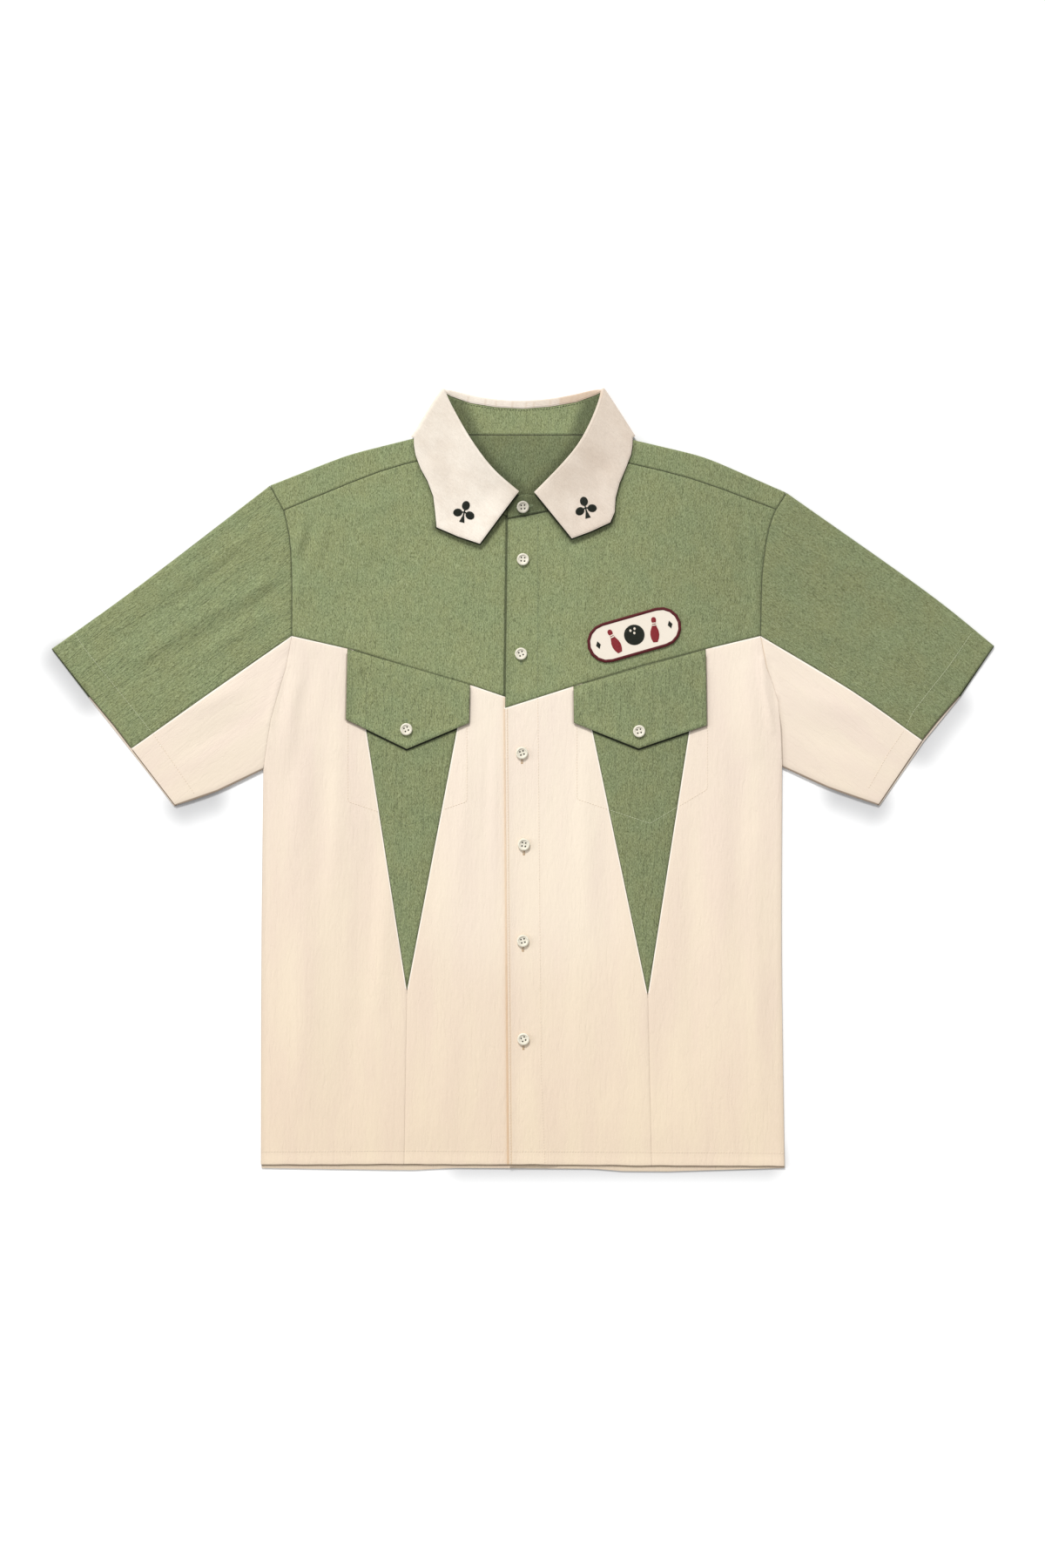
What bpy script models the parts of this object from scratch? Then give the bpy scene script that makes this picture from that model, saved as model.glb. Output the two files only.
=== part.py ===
"""Bowling shirt laid flat, front up: every cut piece is a thin wall between its own seams.

Tables are in millimetres, the model is in metres. +X is the wearer's left, +Y runs to the collar,
z = 0 is the surface that the shirt lies on. The origin is the middle of the shirt's footprint.
"""
from math import cos, pi, radians, sin

import bmesh
import bpy
import numpy as np

MM = 0.001
CLOTH = 1.2            # thickness of a cloth wall
BAG_CLOTH = 1.0        # thickness of the thin pocket bag
PATCH_CLOTH = 1.4      # thickness of the embroidered patch
SEAM = 0.3             # space between two pieces that are sewn together
HALF_SEAM = SEAM / 2
PLY = CLOTH + SEAM     # from the middle of one layer to the middle of the next

FLAT_GAP = 1.5         # front layer above back layer, middle to middle, at a sewn edge
FOLD_GAP = 2.0         # the same at a folded edge
INSIDE_GAP = 3.0       # the same inside the shirt
LOFT_REACH = 40.0      # distance from the outline at which the layers are fully apart
FOLD_STEPS = 6         # faces round a folded edge
MERGE = 0.02           # points closer than this are one point
NEAR = 0.01            # slack when a place is told by its x
FLAT_CORNER = 0.2      # sine of the turn under which a corner of a border counts as straight
WEDGE_BLUNT = 0.01     # the wedge's tip is cut off at this share of its length
WEDGE_DIVISIONS = 10
BACK_HEM_DIVISIONS = 6

LAP_DIP = 0.75         # how far the under front sinks under the lap
LAP_STEP = 1.6         # under front to over front
LAP_RAMPS = ((-37.0, -20.0), (34.0, 19.4))   # x where each front starts and ends its step

LEAF_LIFT = 2.0        # how far the collar leaf under the neck lifts the yoke
LEAF_LIFT_BOX = (118.0, 342.0)               # half width, and lowest y, of the lifted part
LEAF_LIFT_FADE = 25.0

RIGHT, LEFT = 0, 1
SIDE_NAMES = ("right", "left")

# name: (x, y) on the wearer's right, (x, y) on the wearer's left
LANDMARKS = {
    "neck_side": ((-93.0, 357.5), (93.0, 356.0)),
    "shoulder_mid": ((-180.5, 336.0), (187.5, 334.0)),
    "shoulder_point": ((-261.5, 304.0), (272.5, 296.5)),
    "neck_bend": ((-89.0, 346.5), (88.5, 346.5)),
    "shoulder_seam_neck": ((-84.0, 335.0), (84.0, 333.0)),
    "shoulder_seam_mid": ((-148.0, 318.5), (173.0, 311.5)),
    "shoulder_seam_arm": ((-247.5, 278.5), (261.5, 279.5)),
    "arm_chest": ((-241.5, 252.0), (254.0, 258.5)),
    "arm_mid": ((-239.0, 211.5), (247.5, 216.0)),
    "arm_corner": ((-239.0, 148.5), (245.5, 148.5)),
    "arm_low": ((-246.0, 112.5), (251.5, 116.0)),
    "arm_bend": ((-260.5, 63.0), (264.0, 80.0)),
    "underarm": ((-268.5, 10.5), (268.0, 13.0)),
    "back_arm": ((-239.5, 229.5), (249.5, 229.5)),
    "cuff_top": ((-487.5, 135.0), (487.5, 138.0)),
    "cuff_back": ((-449.0, 85.0), (452.0, 85.5)),
    "cuff_front": ((-406.5, 31.0), (414.5, 39.5)),
    "cuff_under": ((-360.5, -27.5), (368.5, -27.0)),
    "sleeve_top": ((-396.5, 200.5), (417.0, 194.5)),
    "sleeve_seam": ((-323.0, 90.0), (339.5, 92.0)),
    "sleeve_under": ((-315.5, -12.0), (315.5, -8.5)),
    "waist": ((-270.5, -184.5), (267.5, -184.5)),
    "hem_side": ((-271.0, -398.0), (270.5, -399.5)),
    "hem_seam": ((-123.0, -397.5), (133.0, -399.0)),
    "hem_centre": ((17.5, -398.0), (-14.5, -397.5)),
    "back_hem_side": ((-270.5, -401.5), (270.5, -401.5)),
    "back_hem_mid": ((-135.5, -403.5), (150.0, -405.0)),
    "wedge_outer": ((-175.0, 134.0), (185.0, 134.0)),
    "wedge_inner": ((-59.0, 99.5), (61.5, 99.5)),
    "wedge_tip": ((-120.0, -218.5), (129.0, -223.0)),
    "yoke_dip": ((-117.5, 116.5), (124.0, 118.0)),
    "yoke_centre": ((16.0, 74.0), (-18.5, 74.0)),
    "neck_front": ((-64.5, 308.5), (64.5, 308.5)),
    "neck_low": ((-41.0, 287.0), (41.0, 287.0)),
    "neck_lap": ((-16.0, 272.0), (24.0, 277.0)),
    "neck_centre": ((16.0, 270.5), (-16.0, 269.5)),
    "flap_outer_top": ((-181.5, 135.5), (189.0, 135.0)),
    "flap_inner_top": ((-54.5, 98.5), (52.0, 96.5)),
    "flap_outer_low": ((-183.0, 62.0), (190.0, 56.0)),
    "flap_inner_low": ((-55.5, 58.5), (52.5, 58.5)),
    "flap_tip": ((-120.0, 31.5), (119.5, 32.0)),
    "bag_outer_low": ((-181.0, -22.5), (190.5, -10.0)),
    "bag_inner_low": ((-58.0, -22.5), (56.0, -20.0)),
    "bag_tip": ((-120.0, -47.5), (130.0, -46.0)),
}

# seam: landmarks that it passes through, divisions between each two of them, curved or straight
SEAMS = {
    "shoulder_seam": (("shoulder_seam_arm", "shoulder_seam_mid", "shoulder_seam_neck"), (3, 3), True),
    "shoulder_fold": (("shoulder_point", "shoulder_mid", "neck_side"), (3, 3), False),
    "armhole_yoke": (("shoulder_seam_arm", "shoulder_point"), (2,), False),
    "armhole_front": (("arm_corner", "arm_mid", "arm_chest", "shoulder_seam_arm"), (4, 2, 2), True),
    "armhole_low": (("underarm", "arm_bend", "arm_low", "arm_corner"), (2, 2, 2), True),
    "armhole_back_body": (("underarm", "arm_bend", "arm_low", "arm_corner", "back_arm"), (2, 2, 2, 2), True),
    "armhole_back_yoke": (("back_arm", "arm_chest", "shoulder_seam_arm", "shoulder_point"), (2, 2, 2), True),
    "neckline_yoke": (("neck_side", "neck_bend", "shoulder_seam_neck"), (1, 1), False),
    "neckline_front": (("shoulder_seam_neck", "neck_front", "neck_low", "neck_lap", "neck_centre"),
                       (2, 2, 2, 2), True),
    "centre_yoke": (("yoke_centre", "neck_centre"), (8,), False),
    "centre_front": (("hem_centre", "yoke_centre"), (16,), False),
    "yoke_seam_outer": (("arm_corner", "wedge_outer"), (5,), False),
    "yoke_seam_wedge": (("wedge_outer", "yoke_dip", "wedge_inner"), (3, 2), False),
    "wedge_outer_side": (("wedge_tip", "wedge_outer"), (10,), False),
    "wedge_inner_side": (("wedge_tip", "wedge_inner"), (10,), False),
    "lower_seam": (("hem_seam", "wedge_tip"), (6,), False),
    "side_seam": (("hem_side", "waist", "underarm"), (5, 5), True),
    "back_side_seam": (("back_hem_side", "waist", "underarm"), (5, 5), True),
    "hem_side_front": (("hem_side", "hem_seam"), (5,), False),
    "back_hem": (("back_hem_side", "back_hem_mid"), (3,), False),
    "sleeve_fold": (("cuff_top", "sleeve_top", "shoulder_point"), (4, 4), True),
    "sleeve_front_seam": (("cuff_front", "sleeve_seam", "arm_corner"), (4, 4), True),
    "sleeve_back_seam": (("cuff_back", "back_arm"), (8,), False),
    "underarm_seam": (("cuff_under", "sleeve_under", "underarm"), (4, 4), True),
    "cuff_upper_front": (("cuff_front", "cuff_back", "cuff_top"), (4, 6), False),
    "cuff_upper_back": (("cuff_back", "cuff_top"), (6,), False),
    "cuff_lower_front": (("cuff_under", "cuff_front"), (6,), False),
    "cuff_lower_back": (("cuff_under", "cuff_front", "cuff_back"), (4, 4), False),
    "flap_top": (("flap_outer_top", "flap_inner_top"), (6,), False),
    "flap_outer": (("flap_outer_low", "flap_outer_top"), (4,), False),
    "flap_inner": (("flap_inner_low", "flap_inner_top"), (4,), False),
    "flap_point": (("flap_outer_low", "flap_tip", "flap_inner_low"), (3, 3), False),
    "bag_outer": (("bag_outer_low", "flap_outer_top"), (6,), False),
    "bag_inner": (("bag_inner_low", "flap_inner_top"), (6,), False),
    "bag_point": (("bag_outer_low", "bag_tip", "bag_inner_low"), (3, 3), False),
}

# columns of a centre front, as shares of its top and bottom edge: close together at the lap
LAP_COLUMNS_TOP = (0.0, 0.16, 0.32, 0.525, 1.0)
LAP_COLUMNS_HEM = (0.0, 0.32, 0.64, 0.75, 1.0)

# the shirt's outline on one side: landmark, gap between the two layers there
OUTLINE = (
    ("hem_side", FLAT_GAP), ("waist", FLAT_GAP), ("underarm", FLAT_GAP), ("sleeve_under", FLAT_GAP),
    ("cuff_under", FLAT_GAP), ("cuff_front", FOLD_GAP), ("cuff_back", FOLD_GAP), ("cuff_top", FOLD_GAP),
    ("sleeve_top", FOLD_GAP), ("shoulder_point", FOLD_GAP), ("shoulder_mid", FOLD_GAP),
    ("neck_side", FOLD_GAP),
)

# soft folds in the front layer: start x, y, end x, y, half width, height
FOLDS = {
    "right underarm pull": (-262.0, 40.0, -238.0, 105.0, 20.0, 1.1),
    "right side drape": (-235.0, -250.0, -222.0, -60.0, 22.0, 0.9),
    "left underarm pull": (258.0, 45.0, 244.0, 110.0, 20.0, 1.1),
    "left side drape": (232.0, -300.0, 228.0, -80.0, 22.0, 0.9),
    "right sleeve pull": (-300.0, 70.0, -395.0, 95.0, 24.0, 0.9),
    "left sleeve pull": (306.0, 70.0, 400.0, 100.0, 24.0, 0.9),
    "right shoulder pull": (-215.0, 235.0, -165.0, 205.0, 22.0, 0.7),
    "left shoulder pull": (235.0, 250.0, 205.0, 225.0, 22.0, 0.7),
}

# collar: stations from the side fold to the front edge, each a section of the collar
# roll x, y, outer edge x, y, height of the stand's seam, height of the leaf at the roll, spring of the edge
COLLAR_FRONT = (
    (
        (-80.5, 403.5, -112.6, 352.8, 4.6, 6.6, 0.0),
        (-79.0, 398.0, -112.4, 344.5, 4.9, 6.9, 0.2),
        (-75.0, 389.0, -110.8, 335.0, 5.8, 7.8, 0.2),
        (-66.0, 372.5, -105.5, 321.0, 7.0, 9.0, 0.2),
        (-56.0, 355.0, -98.5, 308.5, 8.2, 10.2, 0.3),
        (-45.5, 339.5, -92.5, 292.5, 8.6, 10.6, 0.4),
        (-34.5, 325.0, -90.5, 276.0, 8.0, 10.0, 0.6),
        (-23.0, 313.5, -89.0, 260.5, 6.6, 9.0, 1.0),
        (-13.0, 305.5, -67.0, 251.0, 4.6, 8.0, 1.8),
        (-4.0, 298.0, -44.5, 243.5, 3.7, 7.4, 2.4),
    ),
    (
        (80.8, 403.5, 113.2, 353.2, 4.6, 6.6, 0.0),
        (80.0, 398.0, 113.0, 345.0, 4.9, 6.9, 0.2),
        (77.5, 389.0, 111.6, 336.0, 5.8, 7.8, 0.2),
        (71.5, 373.5, 106.0, 321.5, 7.0, 9.0, 0.2),
        (62.0, 354.0, 99.5, 306.0, 8.2, 10.2, 0.3),
        (52.0, 339.5, 95.5, 291.0, 8.6, 10.6, 0.4),
        (40.5, 326.5, 94.5, 276.0, 8.2, 10.2, 0.6),
        (30.0, 315.5, 90.0, 265.5, 7.2, 9.2, 1.0),
        (20.5, 306.0, 69.5, 256.0, 6.2, 8.2, 1.8),
        (11.5, 297.0, 50.5, 249.0, 5.5, 7.5, 2.4),
    ),
)
# the back of the collar, from the wearer's right to the left: neck x, roll x, y, outer edge x, y, tuck
COLLAR_BACK = (
    (-79.5, -72.5, 402.5, -90.5, 348.5, 5.0),
    (-56.0, -52.5, 397.0, -63.5, 345.0, 6.5),
    (-27.5, -27.5, 393.0, -32.0, 344.5, 6.5),
    (0.0, 0.0, 391.5, 0.0, 344.5, 6.5),
    (27.5, 27.5, 393.5, 32.0, 344.5, 6.5),
    (55.5, 53.5, 398.0, 63.5, 345.0, 6.5),
    (79.5, 71.5, 403.0, 90.5, 348.5, 5.0),
)
NECK_SEAM_Y = 356.0          # back neck seam
STAND_FOLD = ((-89.5, 358.0), (89.5, 358.0))     # where the stand folds at the neck
FOLD_LEVEL = 3.6             # height of the fold's axis at both sides of the collar
STAND_FOLD_RADIUS = 1.0
LEAF_FOLD_RADIUS = 3.0
TUCK = 1.5                   # how far the stand's seam lies inside the roll, at the front
ROLL_STEPS = 5               # faces round the roll
LEAF_ROWS = 4                # faces from the roll to the outer edge
LEAF_CROWN = 0.5             # how much the leaf bulges between roll and edge
STAND_ROWS = 3
FOLD_NECK_SHARE = 0.4        # the first front section starts this far down the neckline's first edge
# ends of the stand beyond the leaf: seam x, y and height, for the under end and the over end
STAND_ENDS = (
    ((6.0, 292.5, 3.6), (16.0, 289.5, 3.5)),
    ((-2.0, 295.0, 5.4), (-15.0, 286.0, 5.2)),
)

# chest patch: a plain rounded lozenge
PATCH_CENTRE = (115.0, 149.5)
PATCH_SIZE = (98.0, 40.0)
PATCH_TURN = radians(16.0)
PATCH_DIVISIONS = 8

STAND_RAISE = 0.9        # height of the stand's end above the over front, at its button
# button: (x, y), front that it is on, height of its bed above that front, tilt away from the collar
BUTTONS = {
    "button_1": ((0.0, 281.5), LEFT, STAND_RAISE, radians(2.2)),
    "button_2": ((0.0, 227.5), LEFT, 0.0, 0.0),
    "button_3": ((-2.0, 130.0), LEFT, 0.0, 0.0),
    "button_4": ((-1.0, 27.5), LEFT, 0.0, 0.0),
    "button_5": ((1.0, -67.0), LEFT, 0.0, 0.0),
    "button_6": ((0.0, -166.5), LEFT, 0.0, 0.0),
    "button_7": ((0.5, -268.0), LEFT, 0.0, 0.0),
    "flap_button_right": ((-120.5, 52.0), RIGHT, PLY, 0.0),
    "flap_button_left": ((120.0, 50.0), LEFT, PLY, 0.0),
}
BUTTON_RADIUS = 6.4
BUTTON_HEIGHT = 2.8
BUTTON_SIDES = 18
HOLE_RADIUS = 0.9
HOLE_SIDES = 8
HOLE_SPREAD = 1.75       # from the button's axis to a hole, along x and along y
# outer side of a button, from the top of its dish round to its back: radius, height
BUTTON_PROFILE = ((0.0, 1.7), (3.9, 1.7), (4.8, BUTTON_HEIGHT), (5.9, 2.6), (BUTTON_RADIUS, 1.6), (5.0, 0.0),
                  (0.0, 0.0))

COLOURS = {
    "sage_green": ((0.270, 0.318, 0.163, 1.0), 0.85),
    "cream": ((0.880, 0.780, 0.630, 1.0), 0.85),
    "collar_cream": ((0.860, 0.760, 0.640, 1.0), 0.8),
    "patch_cream": ((0.850, 0.760, 0.640, 1.0), 0.8),
    "button_cream": ((0.780, 0.740, 0.620, 1.0), 0.35),
}


def start_clean():
    for old in list(bpy.data.objects):
        bpy.data.objects.remove(old, do_unlink=True)


def new_collection(name):
    collection = bpy.data.collections.new(name)
    bpy.context.scene.collection.children.link(collection)
    return collection


def make_material(name):
    colour, roughness = COLOURS[name]
    material = bpy.data.materials.new(name)
    material.use_nodes = True
    shader = material.node_tree.nodes["Principled BSDF"]
    shader.inputs["Base Color"].default_value = colour
    shader.inputs["Roughness"].default_value = roughness
    shader.inputs["Metallic"].default_value = 0.0
    return material


def smooth(share):
    share = min(1.0, max(0.0, share))
    return share * share * (3.0 - 2.0 * share)


def unit(vector):
    return vector / np.linalg.norm(vector)


def landmark(name, side):
    return np.array(LANDMARKS[name][side])


def curve_point(before, start, end, after, t):
    """A point of the smooth curve that passes through start and end."""
    return 0.5 * (2 * start + (end - before) * t + (2 * before - 5 * start + 4 * end - after) * t ** 2
                  + (3 * start - before - 3 * end + after) * t ** 3)


def seam(side, name):
    """The points of a named seam, in the order of its landmarks."""
    names, divisions, curved = SEAMS[name]
    marks = [landmark(mark, side) for mark in names]
    padded = [2 * marks[0] - marks[1]] + marks + [2 * marks[-1] - marks[-2]]
    points = [marks[0]]
    for i, count in enumerate(divisions):
        before, start, end, after = padded[i:i + 4]
        for k in range(1, count + 1):
            t = k / count
            straight = start + (end - start) * t
            points.append(curve_point(before, start, end, after, t) if curved else straight)
    return points


def line(start, end, shares):
    return [start + (end - start) * share for share in shares]


def even_shares(count):
    return [k / count for k in range(count + 1)]


def nearest_outline(point):
    """Distance to the shirt's outline, and the gap between the layers at the nearest place."""
    best = (1e9, FLAT_GAP)
    for start, end, gap_start, gap_end in OUTLINE_RUNS:
        along = end - start
        t = min(1.0, max(0.0, float(np.dot(point - start, along) / np.dot(along, along))))
        distance = float(np.linalg.norm(point - start - along * t))
        if distance < best[0]:
            best = (distance, gap_start + (gap_end - gap_start) * t)
    return best


def outline_runs():
    runs = []
    for side in (RIGHT, LEFT):
        for (a, gap_a), (b, gap_b) in zip(OUTLINE, OUTLINE[1:]):
            runs.append((landmark(a, side), landmark(b, side), gap_a, gap_b))
    runs.append((landmark("hem_side", RIGHT), landmark("hem_side", LEFT), FLAT_GAP, FLAT_GAP))
    return runs


OUTLINE_RUNS = outline_runs()


def fold_height(point):
    height = 0.0
    for x0, y0, x1, y1, half_width, top in FOLDS.values():
        start = np.array((x0, y0))
        along = np.array((x1, y1)) - start
        t = min(1.0, max(0.0, float(np.dot(point - start, along) / np.dot(along, along))))
        distance = float(np.linalg.norm(point - start - along * t))
        height += top * (1.0 - smooth(distance / (2.0 * half_width)))
    return height


def back_height(point):
    """Middle of the back layer: flat on the surface, lifted where the collar leaf lies under it."""
    half_width, low = LEAF_LIFT_BOX
    outside = np.hypot(max(0.0, abs(point[0]) - half_width), max(0.0, low - point[1]))
    return CLOTH / 2 + LEAF_LIFT * (1.0 - smooth(outside / LEAF_LIFT_FADE))


def lap_share(x, side):
    start, end = LAP_RAMPS[side]
    return smooth((x - start) / (end - start))


def front_height(point, side):
    """Middle of the front layer: above the back layer, apart inside, stepped at the lap."""
    distance, gap = nearest_outline(point)
    inside = smooth(distance / LOFT_REACH)
    share = lap_share(point[0], side)
    height = back_height(point) + gap + (INSIDE_GAP - gap + fold_height(point)) * inside
    height -= LAP_DIP * inside * share
    return height + (LAP_STEP * share if side == LEFT else 0.0)


def loop_of(rows):
    """Row and column of each border point, once round from the first corner, and each edge's side."""
    high, wide = len(rows) - 1, len(rows[0]) - 1
    bottom = [(0, i) for i in range(wide)]
    right = [(j, wide) for j in range(high)]
    top = [(high, i) for i in range(wide, 0, -1)]
    left = [(j, 0) for j in range(high, 0, -1)]
    sides = [0] * wide + [1] * high + [2] * wide + [3] * high
    return bottom + right + top + left, sides


def draw_in(rows, insets):
    """Move the border of a flat grid inwards: insets for the bottom, right, top and left side."""
    places, sides = loop_of(rows)
    points = [rows[j][i] for j, i in places]
    count = len(points)
    area = sum(a[0] * b[1] - a[1] * b[0] for a, b in zip(points, points[1:] + points[:1]))
    turn = 1.0 if area > 0 else -1.0
    normals, depths = [], []
    for k in range(count):
        edge = unit(points[(k + 1) % count] - points[k])
        normals.append(turn * np.array((-edge[1], edge[0])))
        inset = insets[sides[k]]
        depths.append(inset(points[k]) if callable(inset) else inset)
    for k, (j, i) in enumerate(places):
        n0, n1 = normals[k - 1], normals[k]
        d0, d1 = depths[k - 1], depths[k]
        across = n0[0] * n1[1] - n0[1] * n1[0]
        if abs(across) < FLAT_CORNER:
            shift = unit(n0 + n1) * max(d0, d1)
        else:
            shift = np.array((d0 * n1[1] - d1 * n0[1], d1 * n0[0] - d0 * n1[0])) / across
        rows[j][i] = points[k] + shift
    return rows


def coons(bottom, right, top, left):
    """A grid between four edges. Bottom and top run the same way, so do left and right."""
    wide, high = len(bottom) - 1, len(left) - 1
    rows = []
    for j in range(high + 1):
        v = j / high
        row = []
        for i in range(wide + 1):
            u = i / wide
            across = (1 - v) * bottom[i] + v * top[i] + (1 - u) * left[j] + u * right[j]
            corners = ((1 - u) * (1 - v) * bottom[0] + u * (1 - v) * bottom[-1]
                       + (1 - u) * v * top[0] + u * v * top[-1])
            row.append(across - corners)
        rows.append(row)
    return rows


def raise_rows(rows, height):
    return [[np.array((p[0], p[1], height(p))) for p in row] for row in rows]


def fold_rows(lower, upper, outwards, steps=FOLD_STEPS):
    """Rows of a half turn from a lower row to the row above it, bulging outwards."""
    rows = []
    for k in range(1, steps):
        angle = -pi / 2 + pi * k / steps
        share = (1 + sin(angle)) / 2
        row = []
        for low, high, out in zip(lower, upper, outwards):
            radius = (high[2] - low[2]) / 2
            point = low * (1 - share) + high * share
            point[2] = (high[2] + low[2]) / 2 + radius * sin(angle)
            point[:2] += out * radius * cos(angle)
            row.append(point)
        rows.append(row)
    return rows


def outward_normals(points, inside):
    """Flat normals of a line of points, away from a point inside the shirt."""
    normals = []
    for k, point in enumerate(points):
        edge = unit(points[min(k + 1, len(points) - 1)][:2] - points[max(k - 1, 0)][:2])
        normal = np.array((-edge[1], edge[0]))
        away = point[:2] - inside
        normals.append(normal if np.dot(normal, away) > 0 else -normal)
    return normals


def cloth_object(name, grids, material, collection, wall=CLOTH):
    """One sewn piece: its grids share their common points, and a wall is built on both sides."""
    mesh = bpy.data.meshes.new(name)
    work = bmesh.new()
    for rows in grids:
        ring = [[work.verts.new(point * MM) for point in row] for row in rows]
        for low, high in zip(ring, ring[1:]):
            for a, b, c, d in zip(low, low[1:], high[1:], high):
                work.faces.new((a, b, c, d))
    bmesh.ops.remove_doubles(work, verts=work.verts, dist=MERGE * MM)
    bmesh.ops.recalc_face_normals(work, faces=work.faces)
    work.to_mesh(mesh)
    work.free()
    mesh.materials.append(material)
    piece = bpy.data.objects.new(name, mesh)
    collection.objects.link(piece)
    solid = piece.modifiers.new("wall", "SOLIDIFY")
    solid.thickness = wall * MM
    solid.offset = 0.0
    solid.use_even_offset = True
    return piece


def fold_inset(side):
    """Distance from the outline to the row where a folded edge starts to turn."""
    def inset(point):
        radius = (front_height(point, side) - back_height(point)) / 2
        return radius + CLOTH / 2
    return inset


def front_grid(side, rows, lift=0.0):
    return raise_rows(rows, lambda p: front_height(p, side) + lift)


def back_grid(rows):
    return raise_rows(rows, back_height)


def make_back(collection, materials):
    sides = [seam(side, "back_side_seam")[:-1] + seam(side, "armhole_back_body") for side in (RIGHT, LEFT)]
    hems = [seam(side, "back_hem") for side in (RIGHT, LEFT)]
    middle = line(hems[0][-1], hems[1][-1], even_shares(BACK_HEM_DIVISIONS))
    hem = hems[0][:-1] + middle[:-1] + hems[1][::-1]
    top = line(landmark("back_arm", RIGHT), landmark("back_arm", LEFT), even_shares(len(hem) - 1))
    rows = draw_in(coons(hem, sides[1], top, sides[0]), (0.0, HALF_SEAM, HALF_SEAM, HALF_SEAM))
    cloth_object("back_body", [back_grid(rows)], materials["cream"], collection)


def make_back_yoke(collection, materials):
    shoulders = [seam(side, "shoulder_fold") for side in (RIGHT, LEFT)]
    per_shoulder = len(shoulders[0]) - 1
    neck = [np.array((row[0], NECK_SEAM_Y)) for row in COLLAR_BACK]
    neck = [landmark("neck_side", RIGHT)] + neck + [landmark("neck_side", LEFT)]
    top = shoulders[0][:-1] + neck[:-1] + shoulders[1][::-1]
    bottom = line(landmark("back_arm", RIGHT), landmark("back_arm", LEFT), even_shares(len(top) - 1))
    sides = [seam(side, "armhole_back_yoke") for side in (RIGHT, LEFT)]
    fold_depth = fold_inset(RIGHT)

    def top_inset(point):
        on_neck = neck[0][0] + NEAR < point[0] < neck[-1][0] + NEAR
        return HALF_SEAM if on_neck else fold_depth(point)

    rows = draw_in(coons(bottom, sides[1], top, sides[0]), (HALF_SEAM, HALF_SEAM, top_inset, HALF_SEAM))
    back = back_grid(rows)
    grids = [back]
    for side in (RIGHT, LEFT):
        strip = coons(seam(side, "shoulder_seam"), seam(side, "neckline_yoke")[::-1],
                      seam(side, "shoulder_fold"), seam(side, "armhole_yoke"))
        insets = (HALF_SEAM, HALF_SEAM, fold_inset(side), HALF_SEAM)
        front = front_grid(side, draw_in(strip, insets))
        edge = back[-1][:per_shoulder + 1] if side == RIGHT else back[-1][::-1][:per_shoulder + 1]
        out = outward_normals(front[-1], np.array((0.0, 0.0)))
        grids.append([edge] + fold_rows(edge, front[-1], out) + front[::-1])
    cloth_object("back_yoke", grids, materials["sage_green"], collection)


def make_fronts(side, collection, materials):
    name = SIDE_NAMES[side]
    gap4 = (HALF_SEAM,) * 4
    centre = line(landmark("wedge_inner", side), landmark("yoke_centre", side), LAP_COLUMNS_TOP)
    yoke_seam = seam(side, "yoke_seam_outer")[:-1] + seam(side, "yoke_seam_wedge")[:-1] + centre
    neckline = seam(side, "shoulder_seam")[:-1] + seam(side, "neckline_front")
    rows = coons(yoke_seam, seam(side, "centre_yoke"), neckline, seam(side, "armhole_front"))
    cloth_object(f"front_yoke_{name}", [front_grid(side, draw_in(rows, gap4))],
                 materials["sage_green"], collection)

    outer = seam(side, "side_seam")[:-1] + seam(side, "armhole_low")
    inner = seam(side, "lower_seam")[:-1] + seam(side, "wedge_outer_side")
    rows = coons(seam(side, "hem_side_front"), inner, seam(side, "yoke_seam_outer"), outer)
    cloth_object(f"side_front_{name}", [front_grid(side, draw_in(rows, gap4))],
                 materials["cream"], collection)

    inner = seam(side, "lower_seam")[:-1] + seam(side, "wedge_inner_side")
    hem = line(landmark("hem_seam", side), landmark("hem_centre", side), LAP_COLUMNS_HEM)
    rows = coons(hem, seam(side, "centre_front"), centre, inner)
    cloth_object(f"centre_front_{name}", [front_grid(side, draw_in(rows, gap4))],
                 materials["cream"], collection)

    shares = [WEDGE_BLUNT + (1.0 - WEDGE_BLUNT) * share for share in even_shares(WEDGE_DIVISIONS)]
    tip = landmark("wedge_tip", side)
    left_edge = line(tip, landmark("wedge_outer", side), shares)
    right_edge = line(tip, landmark("wedge_inner", side), shares)
    bottom = line(left_edge[0], right_edge[0], even_shares(5))
    rows = coons(bottom, right_edge, seam(side, "yoke_seam_wedge"), left_edge)
    cloth_object(f"wedge_{name}", [front_grid(side, draw_in(rows, gap4))],
                 materials["sage_green"], collection)


def make_pocket(side, collection, materials):
    name = SIDE_NAMES[side]
    gap4 = (HALF_SEAM,) * 4
    rows = coons(seam(side, "bag_point"), seam(side, "bag_inner"), seam(side, "flap_top"),
                 seam(side, "bag_outer"))
    under = -(CLOTH / 2 + SEAM + BAG_CLOTH / 2)
    cloth_object(f"pocket_bag_{name}", [front_grid(side, draw_in(rows, gap4), under)],
                 materials["cream"], collection, BAG_CLOTH)
    rows = coons(seam(side, "flap_point"), seam(side, "flap_inner"), seam(side, "flap_top"),
                 seam(side, "flap_outer"))
    cloth_object(f"pocket_flap_{name}", [front_grid(side, draw_in(rows, gap4), PLY)],
                 materials["sage_green"], collection)


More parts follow.
